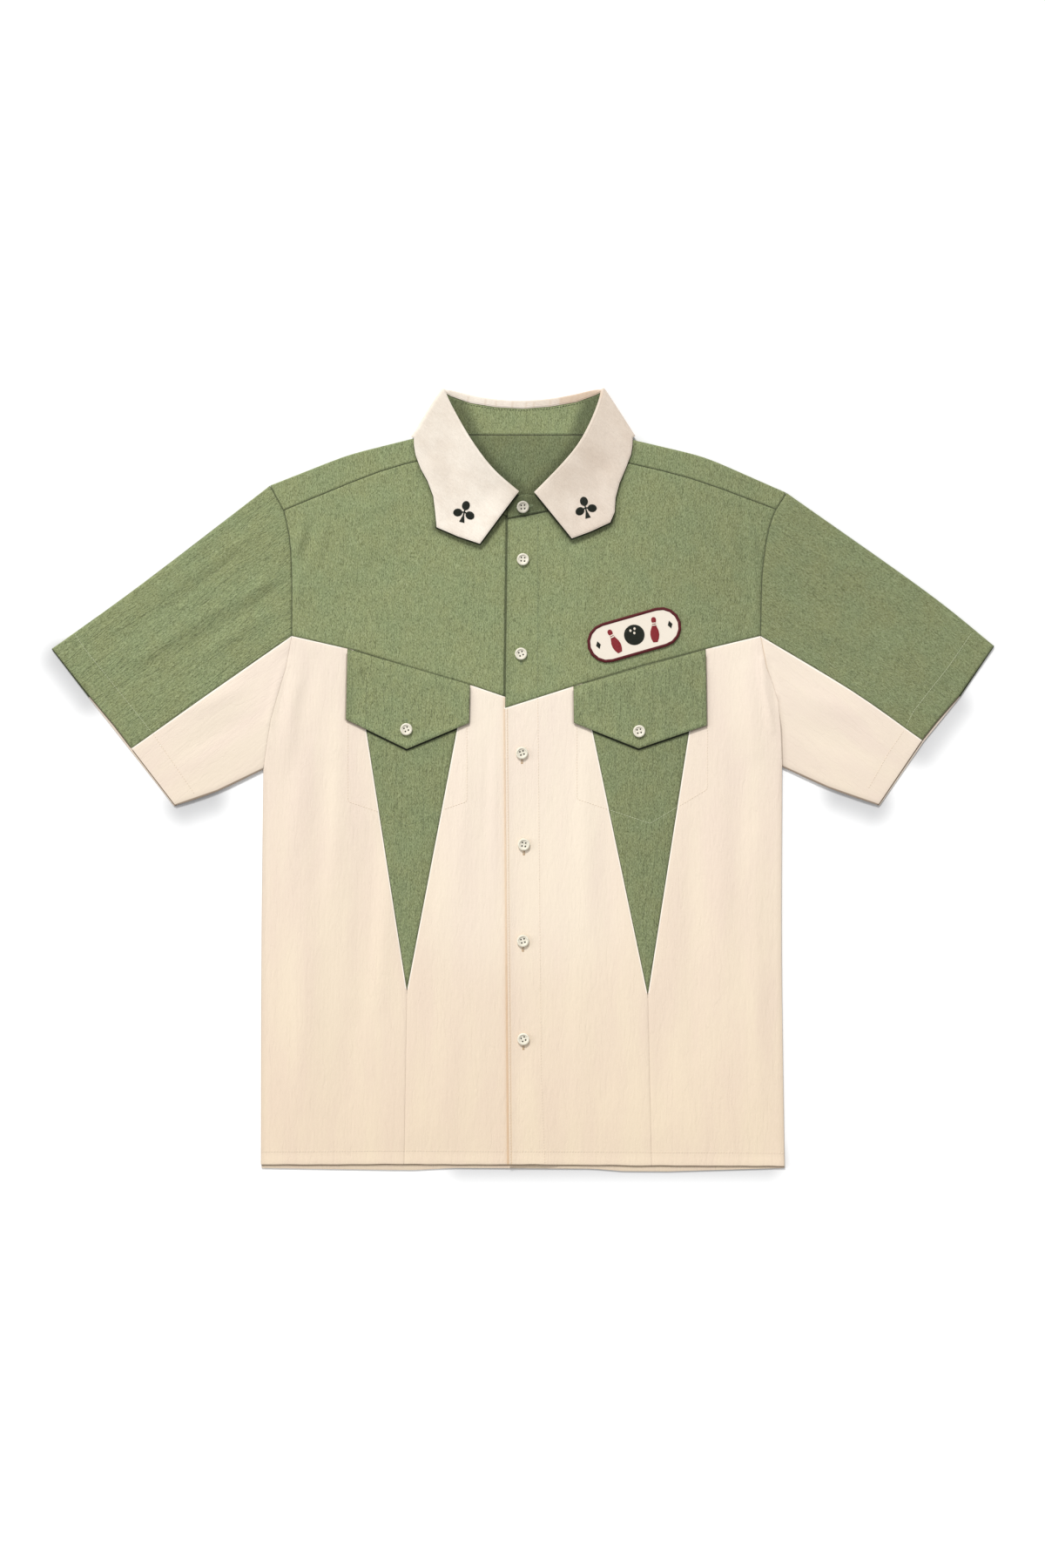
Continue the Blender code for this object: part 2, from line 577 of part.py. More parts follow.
def make_sleeve(side, collection, materials):
    name = SIDE_NAMES[side]
    fold = fold_inset(side)
    armhole = seam(side, "armhole_front")[:-1] + seam(side, "armhole_yoke")
    rows = coons(seam(side, "sleeve_front_seam"), armhole, seam(side, "sleeve_fold"),
                 seam(side, "cuff_upper_front"))
    front = front_grid(side, draw_in(rows, (HALF_SEAM, HALF_SEAM, fold, 0.0)))
    rows = coons(seam(side, "sleeve_back_seam"), seam(side, "armhole_back_yoke"),
                 seam(side, "sleeve_fold"), seam(side, "cuff_upper_back"))
    back = back_grid(draw_in(rows, (HALF_SEAM, HALF_SEAM, fold, 0.0)))
    out = outward_normals(front[-1], np.array((0.0, 0.0)))
    grid = back + fold_rows(back[-1], front[-1], out) + front[::-1]
    cloth_object(f"sleeve_upper_{name}", [grid], materials["sage_green"], collection)

    rows = coons(seam(side, "underarm_seam"), seam(side, "armhole_low"),
                 seam(side, "sleeve_front_seam"), seam(side, "cuff_lower_front"))
    rows = draw_in(rows, (HALF_SEAM, HALF_SEAM, HALF_SEAM, 0.0))
    cloth_object(f"sleeve_under_front_{name}", [front_grid(side, rows)], materials["cream"], collection)

    rows = coons(seam(side, "underarm_seam"), seam(side, "armhole_back_body"),
                 seam(side, "sleeve_back_seam"), seam(side, "cuff_lower_back"))
    rows = draw_in(rows, (HALF_SEAM, HALF_SEAM, HALF_SEAM, 0.0))
    cloth_object(f"sleeve_under_back_{name}", [back_grid(rows)], materials["cream"], collection)


def collar_section(neck, roll, outer, up, stand_z, leaf_z, outer_z, tuck, floor_height):
    """One section of the collar: the stand's points from neck to seam, and the leaf's from seam to edge.

    neck, roll and outer are flat points, up is +1 where the leaf lies over the stand and -1 where it
    lies under it. neck carries its own height.
    """
    along = unit(roll - outer)
    radius = abs(leaf_z - stand_z) / 2
    turn = roll - along * (radius + CLOTH / 2)
    join = turn - along * tuck
    level = (leaf_z + stand_z) / 2
    neck_flat = neck[:2] + unit(join - neck[:2]) * HALF_SEAM
    seam_flat = join - along * HALF_SEAM
    stand = []
    for share in even_shares(STAND_ROWS):
        flat = neck_flat * (1 - share) + seam_flat * share
        stand.append(np.array((*flat, neck[2] * (1 - share) + stand_z * share)))
    leaf = [np.array((*(join + along * HALF_SEAM), stand_z))]
    for share in even_shares(ROLL_STEPS):
        angle = -pi / 2 + pi * share
        flat = turn + along * radius * cos(angle)
        leaf.append(np.array((*flat, level + up * radius * sin(angle))))
    for share in even_shares(LEAF_ROWS)[1:]:
        flat = turn * (1 - share) + outer * share
        height = leaf_z * (1 - share) + outer_z * share + up * LEAF_CROWN * sin(pi * share) * (up > 0)
        leaf.append(np.array((*flat, max(height, floor_height(flat)))))
    return stand, leaf


def front_sections(side):
    """Sections of the collar from its side fold to the front end of the stand."""
    necks = seam(side, "neckline_yoke") + seam(side, "neckline_front")[1:]
    second = necks[0] * (1.0 - FOLD_NECK_SHARE) + necks[1] * FOLD_NECK_SHARE
    necks = [np.array(STAND_FOLD[side]), second] + necks[1:]
    stands, leaves = [], []

    def over_front(flat):
        return front_height(flat, side) + PLY

    for k, (rx, ry, ox, oy, stand_z, leaf_z, spring) in enumerate(COLLAR_FRONT[side]):
        outer = np.array((ox, oy))
        if k == 0:
            neck_z = FOLD_LEVEL + STAND_FOLD_RADIUS
            outer_z = leaf_z
        else:
            neck_z = front_height(necks[k], side)
            outer_z = over_front(outer) + spring
        neck = np.array((*necks[k], neck_z))
        floor = over_front if k else (lambda flat: 0.0)
        stand, leaf = collar_section(neck, np.array((rx, ry)), outer, 1, stand_z, leaf_z, outer_z,
                                     TUCK, floor)
        stands.append(stand)
        leaves.append(leaf)
    for flat, (sx, sy, sz) in zip(necks[len(stands):], STAND_ENDS[side]):
        end = np.array((sx, sy, sz))
        start = np.array((*flat, front_height(flat, side)))
        start[:2] += unit(end[:2] - flat) * HALF_SEAM
        stands.append([start * (1 - share) + end * share for share in even_shares(STAND_ROWS)])
    return stands, leaves


def side_fold(section_low, section_high, side, radius_of):
    """Sections of the half turn that carries the back of the collar over to its front."""
    row = COLLAR_FRONT[side][0]
    along = unit(np.array((row[0] - row[2], row[1] - row[3])))
    out = np.array((-along[1], along[0])) * (1 if side == RIGHT else -1)
    sections = []
    for k in range(1, FOLD_STEPS):
        angle = -pi / 2 + pi * k / FOLD_STEPS
        section = []
        for low, high in zip(section_low, section_high):
            radius = radius_of(low, high)
            flat = (low[:2] + high[:2]) / 2 + out * radius * cos(angle)
            section.append(np.array((*flat, FOLD_LEVEL + radius * sin(angle))))
        sections.append(section)
    return sections


def back_sections():
    stands, leaves = [], []
    stand_z, leaf_z = FOLD_LEVEL - STAND_FOLD_RADIUS, FOLD_LEVEL - LEAF_FOLD_RADIUS
    rows = []
    for side, end in ((RIGHT, 0), (LEFT, 1)):
        rx, ry, ox, oy = COLLAR_FRONT[side][0][:4]
        rows.append((STAND_FOLD[side][0], STAND_FOLD[side][1], rx, ry, ox, oy, TUCK))
    middle = [(nx, NECK_SEAM_Y + HALF_SEAM, rx, ry, ox, oy, tuck) for nx, rx, ry, ox, oy, tuck in COLLAR_BACK]
    for nx, ny, rx, ry, ox, oy, tuck in [rows[0]] + middle + [rows[1]]:
        neck = np.array((nx, ny, stand_z))
        stand, leaf = collar_section(neck, np.array((rx, ry)), np.array((ox, oy)), -1, stand_z, leaf_z,
                                     leaf_z, tuck, lambda flat: 0.0)
        stands.append(stand)
        leaves.append(leaf)
    return stands, leaves


def make_collar(collection, materials):
    def half_gap(low, high):
        return (high[2] - low[2]) / 2

    right_stand, right_leaf = front_sections(RIGHT)
    left_stand, left_leaf = front_sections(LEFT)
    back_stand, back_leaf = back_sections()
    stand = (right_stand[::-1] + side_fold(back_stand[0], right_stand[0], RIGHT, half_gap)[::-1]
             + back_stand + side_fold(back_stand[-1], left_stand[0], LEFT, half_gap) + left_stand)
    leaf = (right_leaf[::-1] + side_fold(back_leaf[0], right_leaf[0], RIGHT, half_gap)[::-1]
            + back_leaf + side_fold(back_leaf[-1], left_leaf[0], LEFT, half_gap) + left_leaf)
    cloth_object("collar_stand", [stand], materials["sage_green"], collection)
    cloth_object("collar_leaf", [leaf], materials["collar_cream"], collection)


def make_patch(collection, materials):
    length, width = PATCH_SIZE
    radius = width / 2
    reach = length / 2 - radius
    turn = np.array(((cos(PATCH_TURN), -sin(PATCH_TURN)), (sin(PATCH_TURN), cos(PATCH_TURN))))

    def place(x, y):
        return turn @ np.array((x, y)) + np.array(PATCH_CENTRE)

    angles = [-pi / 2 + pi * share for share in even_shares(PATCH_DIVISIONS)]
    right = [place(reach + radius * cos(a), radius * sin(a)) for a in angles]
    left = [place(-reach - radius * cos(a), radius * sin(a)) for a in angles]
    bottom = line(left[0], right[0], even_shares(PATCH_DIVISIONS))
    top = line(left[-1], right[-1], even_shares(PATCH_DIVISIONS))
    lift = CLOTH / 2 + SEAM + PATCH_CLOTH / 2
    cloth_object("chest_patch", [front_grid(LEFT, coons(bottom, right, top, left), lift)],
                 materials["patch_cream"], collection, PATCH_CLOTH)


def make_button_mesh(cutters, material):
    """A turned button with a dished face and four sewing holes."""
    mesh = bpy.data.meshes.new("button_profile")
    points = [(r * MM, 0.0, z * MM) for r, z in BUTTON_PROFILE]
    mesh.from_pydata(points, [(k, k + 1) for k in range(len(points) - 1)], [])
    blank = bpy.data.objects.new("button_blank", mesh)
    cutters.objects.link(blank)
    screw = blank.modifiers.new("turn", "SCREW")
    screw.steps = BUTTON_SIDES
    screw.render_steps = BUTTON_SIDES
    screw.use_merge_vertices = True
    screw.merge_threshold = MERGE * MM
    drills = bmesh.new()
    for sx in (-1, 1):
        for sy in (-1, 1):
            hole = bmesh.ops.create_cone(drills, cap_ends=True, segments=HOLE_SIDES,
                                         radius1=HOLE_RADIUS * MM, radius2=HOLE_RADIUS * MM,
                                         depth=2 * BUTTON_HEIGHT * MM)
            move = (sx * HOLE_SPREAD * MM, sy * HOLE_SPREAD * MM, BUTTON_HEIGHT / 2 * MM)
            bmesh.ops.translate(drills, verts=hole["verts"], vec=move)
    drill_mesh = bpy.data.meshes.new("drills")
    drills.to_mesh(drill_mesh)
    drills.free()
    drill = bpy.data.objects.new("drills", drill_mesh)
    cutters.objects.link(drill)
    cut = blank.modifiers.new("holes", "BOOLEAN")
    cut.operation = "DIFFERENCE"
    cut.object = drill
    bpy.context.view_layer.update()
    graph = bpy.context.evaluated_depsgraph_get()
    button = bpy.data.meshes.new_from_object(blank.evaluated_get(graph))
    button.name = "button"
    button.materials.clear()
    button.materials.append(material)
    for guide in (blank, drill):
        bpy.data.objects.remove(guide, do_unlink=True)
    return button


def make_buttons(collection, cutters, materials):
    mesh = make_button_mesh(cutters, materials["button_cream"])
    for name, ((x, y), side, bed, tilt) in BUTTONS.items():
        bottom = front_height(np.array((x, y)), side) + CLOTH / 2 + bed + SEAM
        button = bpy.data.objects.new(name, mesh)
        button.location = (x * MM, y * MM, bottom * MM)
        button.rotation_euler = (tilt, 0.0, 0.0)
        collection.objects.link(button)


def main():
    start_clean()
    shirt = new_collection("bowling_shirt")
    cutters = new_collection("cutters")
    materials = {name: make_material(name) for name in COLOURS}
    make_back(shirt, materials)
    make_back_yoke(shirt, materials)
    for side in (RIGHT, LEFT):
        make_fronts(side, shirt, materials)
        make_pocket(side, shirt, materials)
        make_sleeve(side, shirt, materials)
    make_collar(shirt, materials)
    make_patch(shirt, materials)
    make_buttons(shirt, cutters, materials)


main()
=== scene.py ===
# %% [markdown]
# # A bowling shirt, laid flat
#
# A bowling shirt is cut from two cloths: here a sage green one with a crinkled, slubby surface,
# and a smooth cream one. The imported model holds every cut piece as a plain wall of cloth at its
# real size. This lesson dresses that model. It makes the cloth, the seams and their stitching,
# the buttons and the embroidery, and then sets up the floor, the light and the camera.
#
# Sizes are named in millimetres and turned into Blender's metres where a mesh is made.
# +X is the wearer's left, +Y runs to the collar, and the shirt lies on z = 0.

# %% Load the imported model
from collections import deque
from math import cos, pi, radians, sin

import bmesh
import bpy
import numpy as np
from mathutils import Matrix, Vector, kdtree, noise
from mathutils.bvhtree import BVHTree


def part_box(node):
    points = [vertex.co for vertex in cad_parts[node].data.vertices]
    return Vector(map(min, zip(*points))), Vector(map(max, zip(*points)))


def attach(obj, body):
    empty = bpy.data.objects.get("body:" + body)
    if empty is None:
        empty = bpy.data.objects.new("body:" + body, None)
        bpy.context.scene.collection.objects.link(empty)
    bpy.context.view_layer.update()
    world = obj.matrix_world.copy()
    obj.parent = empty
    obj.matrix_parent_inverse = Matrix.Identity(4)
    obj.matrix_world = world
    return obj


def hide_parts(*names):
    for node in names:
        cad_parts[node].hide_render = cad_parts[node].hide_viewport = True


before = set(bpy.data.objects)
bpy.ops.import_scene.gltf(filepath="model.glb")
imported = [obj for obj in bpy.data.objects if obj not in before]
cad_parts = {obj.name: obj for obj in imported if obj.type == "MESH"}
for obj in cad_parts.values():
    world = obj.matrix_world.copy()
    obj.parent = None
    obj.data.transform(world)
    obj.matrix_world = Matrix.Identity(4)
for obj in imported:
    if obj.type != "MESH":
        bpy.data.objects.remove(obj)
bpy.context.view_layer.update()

MM = 0.001
SIDES = {"right": -1, "left": 1}      # the wearer's sides, and the sign of their x

# %% [markdown]
# ## How cloth is coloured
#
# Cloth is never one flat colour. Its yarns are uneven, so thick places, or slubs, show as short
# streaks along the grain. The cloth also shrinks a little when it is washed, and that leaves a
# fine crinkle. Both follow the grain, so the pattern is a noise that is stretched along the grain
# and bent by a slower noise. It reads Object coordinates in metres, so it has the same size on
# every piece, and only the angle of the grain changes from piece to piece.
#
# An image of the cloth would give the same look, but it would blur up close and would have to be
# unwrapped. Noise stays sharp and needs no unwrapping, because the shirt lies flat.

# %% Helpers for colours and shader nodes
def srgb(*values):
    """A colour given as 0 to 255 screen values, turned into the linear values that a shader takes."""
    shares = [value / 255 for value in values]
    return (*(share / 12.92 if share <= 0.04045 else ((share + 0.055) / 1.055) ** 2.4 for share in shares), 1)


def shade(colour, factor):
    return (*(min(1, channel * factor) for channel in colour[:3]), 1)


def pale(colour):
    """The lighter and greyer colour of a yarn that has taken up less dye."""
    mean = sum(colour[:3]) / 3
    return shade([0.7 * channel + 0.3 * mean for channel in colour[:3]], 1.75)


class Shader:
    """A material whose nodes are added by short calls. A value that is a socket is linked."""

    def __init__(self, material):
        """Go on with a material, or start one if this is a name."""
        if isinstance(material, str):
            material = bpy.data.materials.new(material)
            material.use_nodes = True
        self.material, self.tree = material, material.node_tree
        self.surface = self.tree.nodes["Principled BSDF"].inputs

    def add(self, kind, values, **settings):
        node = self.tree.nodes.new(kind)
        for key, value in settings.items():
            setattr(node, key, value)
        for key, value in values.items():
            self.feed(node.inputs[key], value)
        return node

    def feed(self, socket, value):
        if isinstance(value, bpy.types.NodeSocket):
            self.tree.links.new(value, socket)
        else:
            socket.default_value = value

    def place(self):
        return self.add("ShaderNodeTexCoord", {}).outputs["Object"]

    def math(self, operation, first, second=0):
        return self.add("ShaderNodeMath", {0: first, 1: second}, operation=operation).outputs[0]

    def vector(self, operation, first, second):
        """Vector arithmetic. SCALE takes a number, and DOT_PRODUCT and DISTANCE give one."""
        values = {0: first, "Scale" if operation == "SCALE" else 1: second}
        node = self.add("ShaderNodeVectorMath", values, operation=operation)
        return node.outputs["Value" if operation in ("DOT_PRODUCT", "DISTANCE") else "Vector"]

    def range(self, value, low, high, to_low, to_high, kind="LINEAR"):
        values = {"Value": value, "From Min": low, "From Max": high, "To Min": to_low, "To Max": to_high}
        return self.add("ShaderNodeMapRange", values, interpolation_type=kind).outputs["Result"]

    def smooth_range(self, *values):
        return self.range(*values, "SMOOTHERSTEP")

    def mix(self, share, first, second, blend="MIX"):
        values = {"Factor": share, 6: first, 7: second}
        return self.add("ShaderNodeMix", values, data_type="RGBA", blend_type=blend).outputs[2]

    def noise(self, vector, across, along, detail=2, roughness=0.5):
        """Noise whose lumps are about `across` millimetres over the grain and `along` down it."""
        scale = (1 / (across * MM), 1 / (along * MM), 1 / (across * MM))
        vector = self.add("ShaderNodeMapping", {"Vector": vector, "Scale": scale}).outputs["Vector"]
        return self.add("ShaderNodeTexNoise", {"Vector": vector, "Scale": 1, "Detail": detail,
                                               "Roughness": roughness}).outputs["Fac"]

    def finish(self, colour, height, depth, strength, levels):
        """Feed the surface its colour, a bump that is `depth` mm deep, and its other levels."""
        bump = self.add("ShaderNodeBump", {"Height": height, "Distance": depth * MM, "Strength": strength})
        for name, value in {"Base Color": colour, "Normal": bump.outputs["Normal"], **levels}.items():
            self.feed(self.surface[name], value)
        return self.material


print("128 on a screen is", round(srgb(128)[0], 3), "of full light, and 255 is", srgb(255)[0])

# %% [markdown]
# ## One recipe for both cloths
#
# The green cloth and the cream cloth are woven alike, and the cream only hides it better. So one
# function makes both. It takes a colour, the angle of the grain and how strongly the slubs show.
# A seam changes the cloth beside it too: the layers folded under it stand up, and right at the
# seam the cloth dips into shadow. Every vertex knows its distance to the nearest edge of its own
# piece, in an attribute named rim, and the shader reads that to darken and round the last
# millimetre.

# %% The cloth recipe
SLUB_SIZE = (0.62, 2.2)        # width and length of a slub
STREAK_SIZE = (1.3, 9)         # width and length of a streak of uneven yarn
CRINKLE_SIZE = (2.6, 13)       # width and length of a crinkle
CREASE_SIZE = (12, 120)        # width and length of the cells between fine creases
CREASE_WIDTH = 0.02            # share of a cell that its crease takes
FLECK_SIZE = (0.9, 1.5)        # width and length of a light fleck
BEND_SCALE = 90                # bends of the grain in a metre
YARN_PITCH = 0.55              # from one yarn to the next
WAVE_PERIOD = 0.157            # what Blender's wave texture needs as scale for one yarn in each pitch
# how the cloths change over the shirt: along which axis, from where to where in metres, to what tint
WARM_HEM = ("Y", 0.12, -0.36, (0.94, 0.90, 0.82, 1))
DEEP_SIDE = ("X", 0.03, 0.22, (0.86, 0.85, 0.86, 1))
# painted shade: the collar leaf on the wearer's left faces away from the light and is painted darker
SHADE_ON_LEFT_LEAF = ("X", -0.03, 0.07, (0.85, 0.81, 0.79, 1))
CLOTH_LEVELS = {"Roughness": 0.82, "Sheen Weight": 0.12, "Sheen Roughness": 0.45, "Specular IOR Level": 0.22}


def make_cloth(name, colour, grain, slub, fleck, relief, crease, seam_dark=0.6, seam_depth=0.45, mottle=None,
               mottle_size=(38, 38), tint=None, edge_line=None, bend_by=5):
    cloth = Shader(name)
    place = cloth.place()
    turned = cloth.add("ShaderNodeMapping", {"Vector": place, "Rotation": (0, 0, -grain)})
    along_grain = turned.outputs["Vector"]
    bends = cloth.add("ShaderNodeTexNoise", {"Vector": along_grain, "Scale": BEND_SCALE, "Detail": 2})
    bend = cloth.vector("SUBTRACT", bends.outputs["Color"], (0.5, 0.5, 0.5))
    wavy = cloth.vector("ADD", along_grain, cloth.vector("SCALE", bend, bend_by * MM))
    slubs = cloth.noise(wavy, *SLUB_SIZE, 3, 0.7)
    streaks = cloth.noise(wavy, *STREAK_SIZE, 2, 0.55)
    crinkle = cloth.noise(wavy, *CRINKLE_SIZE)
    cells = cloth.noise(wavy, *CREASE_SIZE)
    flecks = cloth.noise(wavy, *FLECK_SIZE, 2, 0.6)
    slow = cloth.noise(along_grain, *mottle_size, 3, 0.6)
    away = cloth.math("ABSOLUTE", cloth.math("SUBTRACT", cells, 0.5))
    creases = cloth.smooth_range(away, 0, CREASE_WIDTH, -1, 0)

    tone = cloth.math("MULTIPLY", cloth.range(slubs, 0.36, 0.5, 1 - slub, 1),
                      cloth.range(streaks, 0.32, 0.68, 1 - slub * 0.3, 1 + slub * 0.3))
    tone = cloth.math("MULTIPLY", tone, cloth.range(creases, -1, 0, 1 - 0.3 * crease, 1))
    colour_now = cloth.mix(cloth.range(slow, 0.38, 0.62, 0, 1), *mottle) if mottle else colour[:3]
    light = cloth.math("ADD", cloth.range(slubs, 0.5, 0.64, 0, slub),
                       cloth.range(flecks, 0.56, 0.7, 0, fleck))
    colour_now = cloth.mix(light, cloth.vector("SCALE", colour_now, tone), pale(colour))
    if tint:
        axis, start, end, deep = tint
        along = cloth.add("ShaderNodeSeparateXYZ", {0: place}).outputs[axis]
        colour_now = cloth.mix(cloth.range(along, start, end, 0, 1), colour_now,
                               cloth.mix(1, colour_now, deep, "MULTIPLY"))
    rim = cloth.add("ShaderNodeAttribute", {}, attribute_name="rim").outputs["Fac"]
    colour_now = cloth.mix(cloth.range(rim, 0.2, 1, seam_dark, 0), colour_now, shade(colour, 0.3))

    yarns = {"Vector": along_grain, "Scale": WAVE_PERIOD / (YARN_PITCH * MM)}
    weave = cloth.math("ADD", *(cloth.add("ShaderNodeTexWave", yarns, bands_direction=axis).outputs["Fac"]
                                for axis in "XY"))
    height = cloth.smooth_range(rim, 0, 2, -seam_depth, 0)
    for part, share in ((weave, 0.02), (slubs, relief * 0.4), (crinkle, relief), (flecks, relief * 0.15),
                        (creases, crease)):
        height = cloth.math("ADD", height, cloth.math("MULTIPLY", part, share))
    if edge_line:
        far, width, depth = edge_line
        off = cloth.math("ABSOLUTE", cloth.math("SUBTRACT", rim, far))
        height = cloth.math("ADD", height, cloth.smooth_range(off, 0, width, -depth, 0))
    return cloth.finish(colour_now, height, 1, 0.9, CLOTH_LEVELS)


SLEEVE_GRAIN = radians(52)     # how far the sleeves' grain is turned from the body's
GREEN = srgb(133, 142, 101)
CREAM = srgb(231, 217, 200)


def green_cloth(name, grain=0, light=1, relief=0.7, crease=0.14):
    """Green cloth whose dye drifts a little between a bluer and a browner green."""
    drift = (shade(srgb(132, 143, 101), light), shade(srgb(136, 143, 99), light))
    return make_cloth(name, shade(GREEN, light), grain, 0.50, 0.26, relief, crease, mottle=drift,
                      tint=DEEP_SIDE, bend_by=2.2)


def cream_cloth(name, grain=0, light=1, relief=0.36):
    """Cream cloth that has faded in soft bands down the grain, pinker and yellower."""
    bands = (shade(srgb(229, 213, 198), light), shade(srgb(232, 218, 200), light))
    return make_cloth(name, shade(CREAM, light), grain, 0.02, 0.03, relief, 0.06, 0.08, 0.08, mottle=bands,
                      mottle_size=(42, 190), tint=WARM_HEM, bend_by=3)


cloths = {
    "green": green_cloth("green cloth"),
    "green sleeve right": green_cloth("green cloth of the right sleeve", -SLEEVE_GRAIN, 0.98, 1.15, 0.28),
    "green sleeve left": green_cloth("green cloth of the left sleeve", SLEEVE_GRAIN, 0.97, 0.8, 0.16),
    "green inset": green_cloth("green cloth of the insets", 0, 0.925, 1.35, 0.3),
    "green flap": green_cloth("green cloth of the flaps", 0, 0.99, 1.2, 0.36),
    # painted shade: the inside of the shirt is the same green cloth, painted darker
    "green inside": green_cloth("green cloth inside the neck", 0, 0.68),
    "cream": cream_cloth("cream cloth"),
    "cream sleeve right": cream_cloth("cream cloth of the right sleeve", -SLEEVE_GRAIN, 1, 0.24),
    "cream sleeve left": cream_cloth("cream cloth of the left sleeve", SLEEVE_GRAIN, 0.98, 0.2),
    # painted shade: the inside of the shirt is the same cream cloth, painted darker
    "cream inside": cream_cloth("cream cloth inside", 0, 0.88),
    "collar": make_cloth("cream collar cloth", srgb(226, 216, 204), radians(38), 0.07, 0.04, 0.55, 0, 0.05,
                         0.5, mottle=(srgb(226, 214, 199), srgb(236, 226, 212)), mottle_size=(30, 44),
                         tint=SHADE_ON_LEFT_LEAF, edge_line=(2.2, 0.7, 0.10)),
    "patch": make_cloth("ivory patch twill", srgb(228, 218, 203), radians(45), 0.02, 0.03, 0.16, 0, 0.1),
}
print("cloths:", ", ".join(cloths))

# %% [markdown]
# ## Where the cloth swells and dips
#
# The shirt is two layers sewn together round the edge, so they lie close there and a little apart
# inside. On top of that the front layer has soft folds: a pull at each underarm, long drapes down
# the sides, puckers along the armholes. Each one is a line with a width and a height, a ridge if
# the height is above zero and a trough if it is below. They are listed in one table.
#
# One height function serves every piece of the front. So a fold runs on over a seam, and a flap,
# a patch or a button that lies on the front goes up and down with it.
#
# A cloth simulation could crumple the shirt as well, but it would also pull the seams apart and
# move the outline, and a pressed shirt on a table has only a few low folds.

# %% The outline and the folds
# from the right side of the neck down to the hem and up again to the left side of the neck
OUTLINE = (
    (-93, 357.5), (-180.5, 336), (-261.5, 304), (-396.5, 200.5), (-487.5, 135), (-449, 85), (-406.5, 31),
    (-360.5, -27.5), (-315.5, -12), (-268.5, 10.5), (-270.5, -184.5), (-271, -398), (270.5, -399.5),
    (267.5, -184.5), (268, 13), (315.5, -8.5), (368.5, -27), (414.5, 39.5), (452, 85.5), (487.5, 138),
    (417, 194.5), (272.5, 296.5), (187.5, 334), (93, 356),
)
FOLD_STRENGTH = 1.5
FADE = 40                    # the folds fade out over this distance from the outline
# start x, y, end x, y, half width, height
FOLDS = (
    # pulls from the right underarm and the drapes below it
    (-262, 60, -247, 118, 5, 1), (-256, 70, -243, 128, 7, -0.9),
    (-246, 20, -236, 96, 9, 1.1), (-232, 60, -216, 122, 8, -0.7),
    (-236, -60, -226, 30, 12, 0.8), (-214, -150, -204, 10, 12, -0.8),
    (-196, -110, -190, 60, 11, 0.8), (-168, -250, -158, -60, 13, -0.9),
    (-148, -230, -140, -90, 10, 0.8), (-228, -330, -222, -130, 16, 0.9),
    (-100, -160, -84, -20, 10, -0.6), (-66, -120, -58, 40, 9, 0.6),
    (-184, -360, -178, -250, 16, -0.7), (-80, -370, -76, -230, 16, 0.5),
    # the left side
    (258, 52, 247, 122, 5, 1.3), (266, 40, 253, 120, 5, -1.1),
    (240, 30, 232, 110, 9, 0.8), (226, -90, 222, 30, 14, -0.7),
    (246, -330, 242, -60, 11, 0.9), (206, -200, 202, -20, 13, 0.7),
    (176, -280, 172, -60, 13, -0.7), (92, -190, 84, 0, 11, -0.6),
    (66, -150, 62, 20, 9, 0.6), (146, -340, 142, -230, 14, -0.6),
    (60, -350, 56, -200, 15, 0.5),
    # puckers beside the armholes, on the yoke
    (-235, 232, -226, 268, 3.4, 1.3), (-226, 226, -217, 266, 3.6, -1.1),
    (-214, 224, -206, 262, 4.5, 0.9), (-235, 180, -229, 216, 4, 0.9),
    (242, 228, 234, 268, 3.6, 1.3), (231, 218, 223, 262, 3.8, -1.1),
    (219, 228, 210, 262, 5, 0.8), (243, 172, 238, 214, 4, 0.9),
    # the yoke between shoulder and chest
    (-190, 268, -128, 292, 12, 0.6), (-176, 176, -120, 236, 20, -0.6),
    (190, 262, 132, 286, 12, 0.6), (60, 170, 74, 236, 18, 0.5),
    (-62, 168, -70, 232, 16, 0.5), (-110, 150, -60, 140, 14, -0.4),
    # along the right sleeve
    (-262, 172, -330, 128, 4, 1), (-256, 192, -352, 132, 4.5, -1),
    (-256, 214, -400, 122, 6, 1.1), (-290, 232, -438, 132, 6.5, -1),
    (-256, 208, -290, 186, 3.6, 1.2), (-270, 262, -372, 196, 6, 0.9),
    (-290, 96, -340, 72, 9, 0.8), (-282, 66, -350, 30, 12, -0.7),
    (-330, 176, -420, 112, 8, 0.6),
    # along the left sleeve
    (270, 176, 336, 138, 8, 0.7), (266, 206, 370, 150, 9, -0.6),
    (282, 250, 400, 178, 10, 0.6), (286, 92, 340, 66, 10, 0.7),
    (278, 60, 352, 24, 12, -0.6), (340, 160, 432, 108, 9, 0.6),
    # the lap and the middle of the hem
    (-30, -120, -29, 60, 3, 0.35), (-40, -60, -38, 40, 4, -0.35),
    (6, -360, 8, -300, 10, 0.4),
)
SLOW_SWELL = (70, 120, 0.45)     # size across, size along, height
CRINKLE_SWELL = (9, 34, 0.10)


def distance_to_line(flat, start, end):
    """Distances of many flat points, in an N x 2 array, to one line, and how far along it they are."""
    start = np.array(start)
    along = np.array(end) - start
    share = np.clip((flat - start) @ along / (along @ along), 0, 1)
    return np.hypot(*(flat - start - share[:, None] * along).T), share


def line_distance(flat, line):
    return np.min([distance_to_line(flat, *run)[0] for run in zip(line, line[1:])], axis=0)


def smooth_step(values):
    values = np.clip(values, 0, 1)
    return values * values * (3 - 2 * values)


def swell(flat, across, along, top):
    return top * np.array([noise.noise(Vector((x / across, y / along, across))) for x, y in flat])


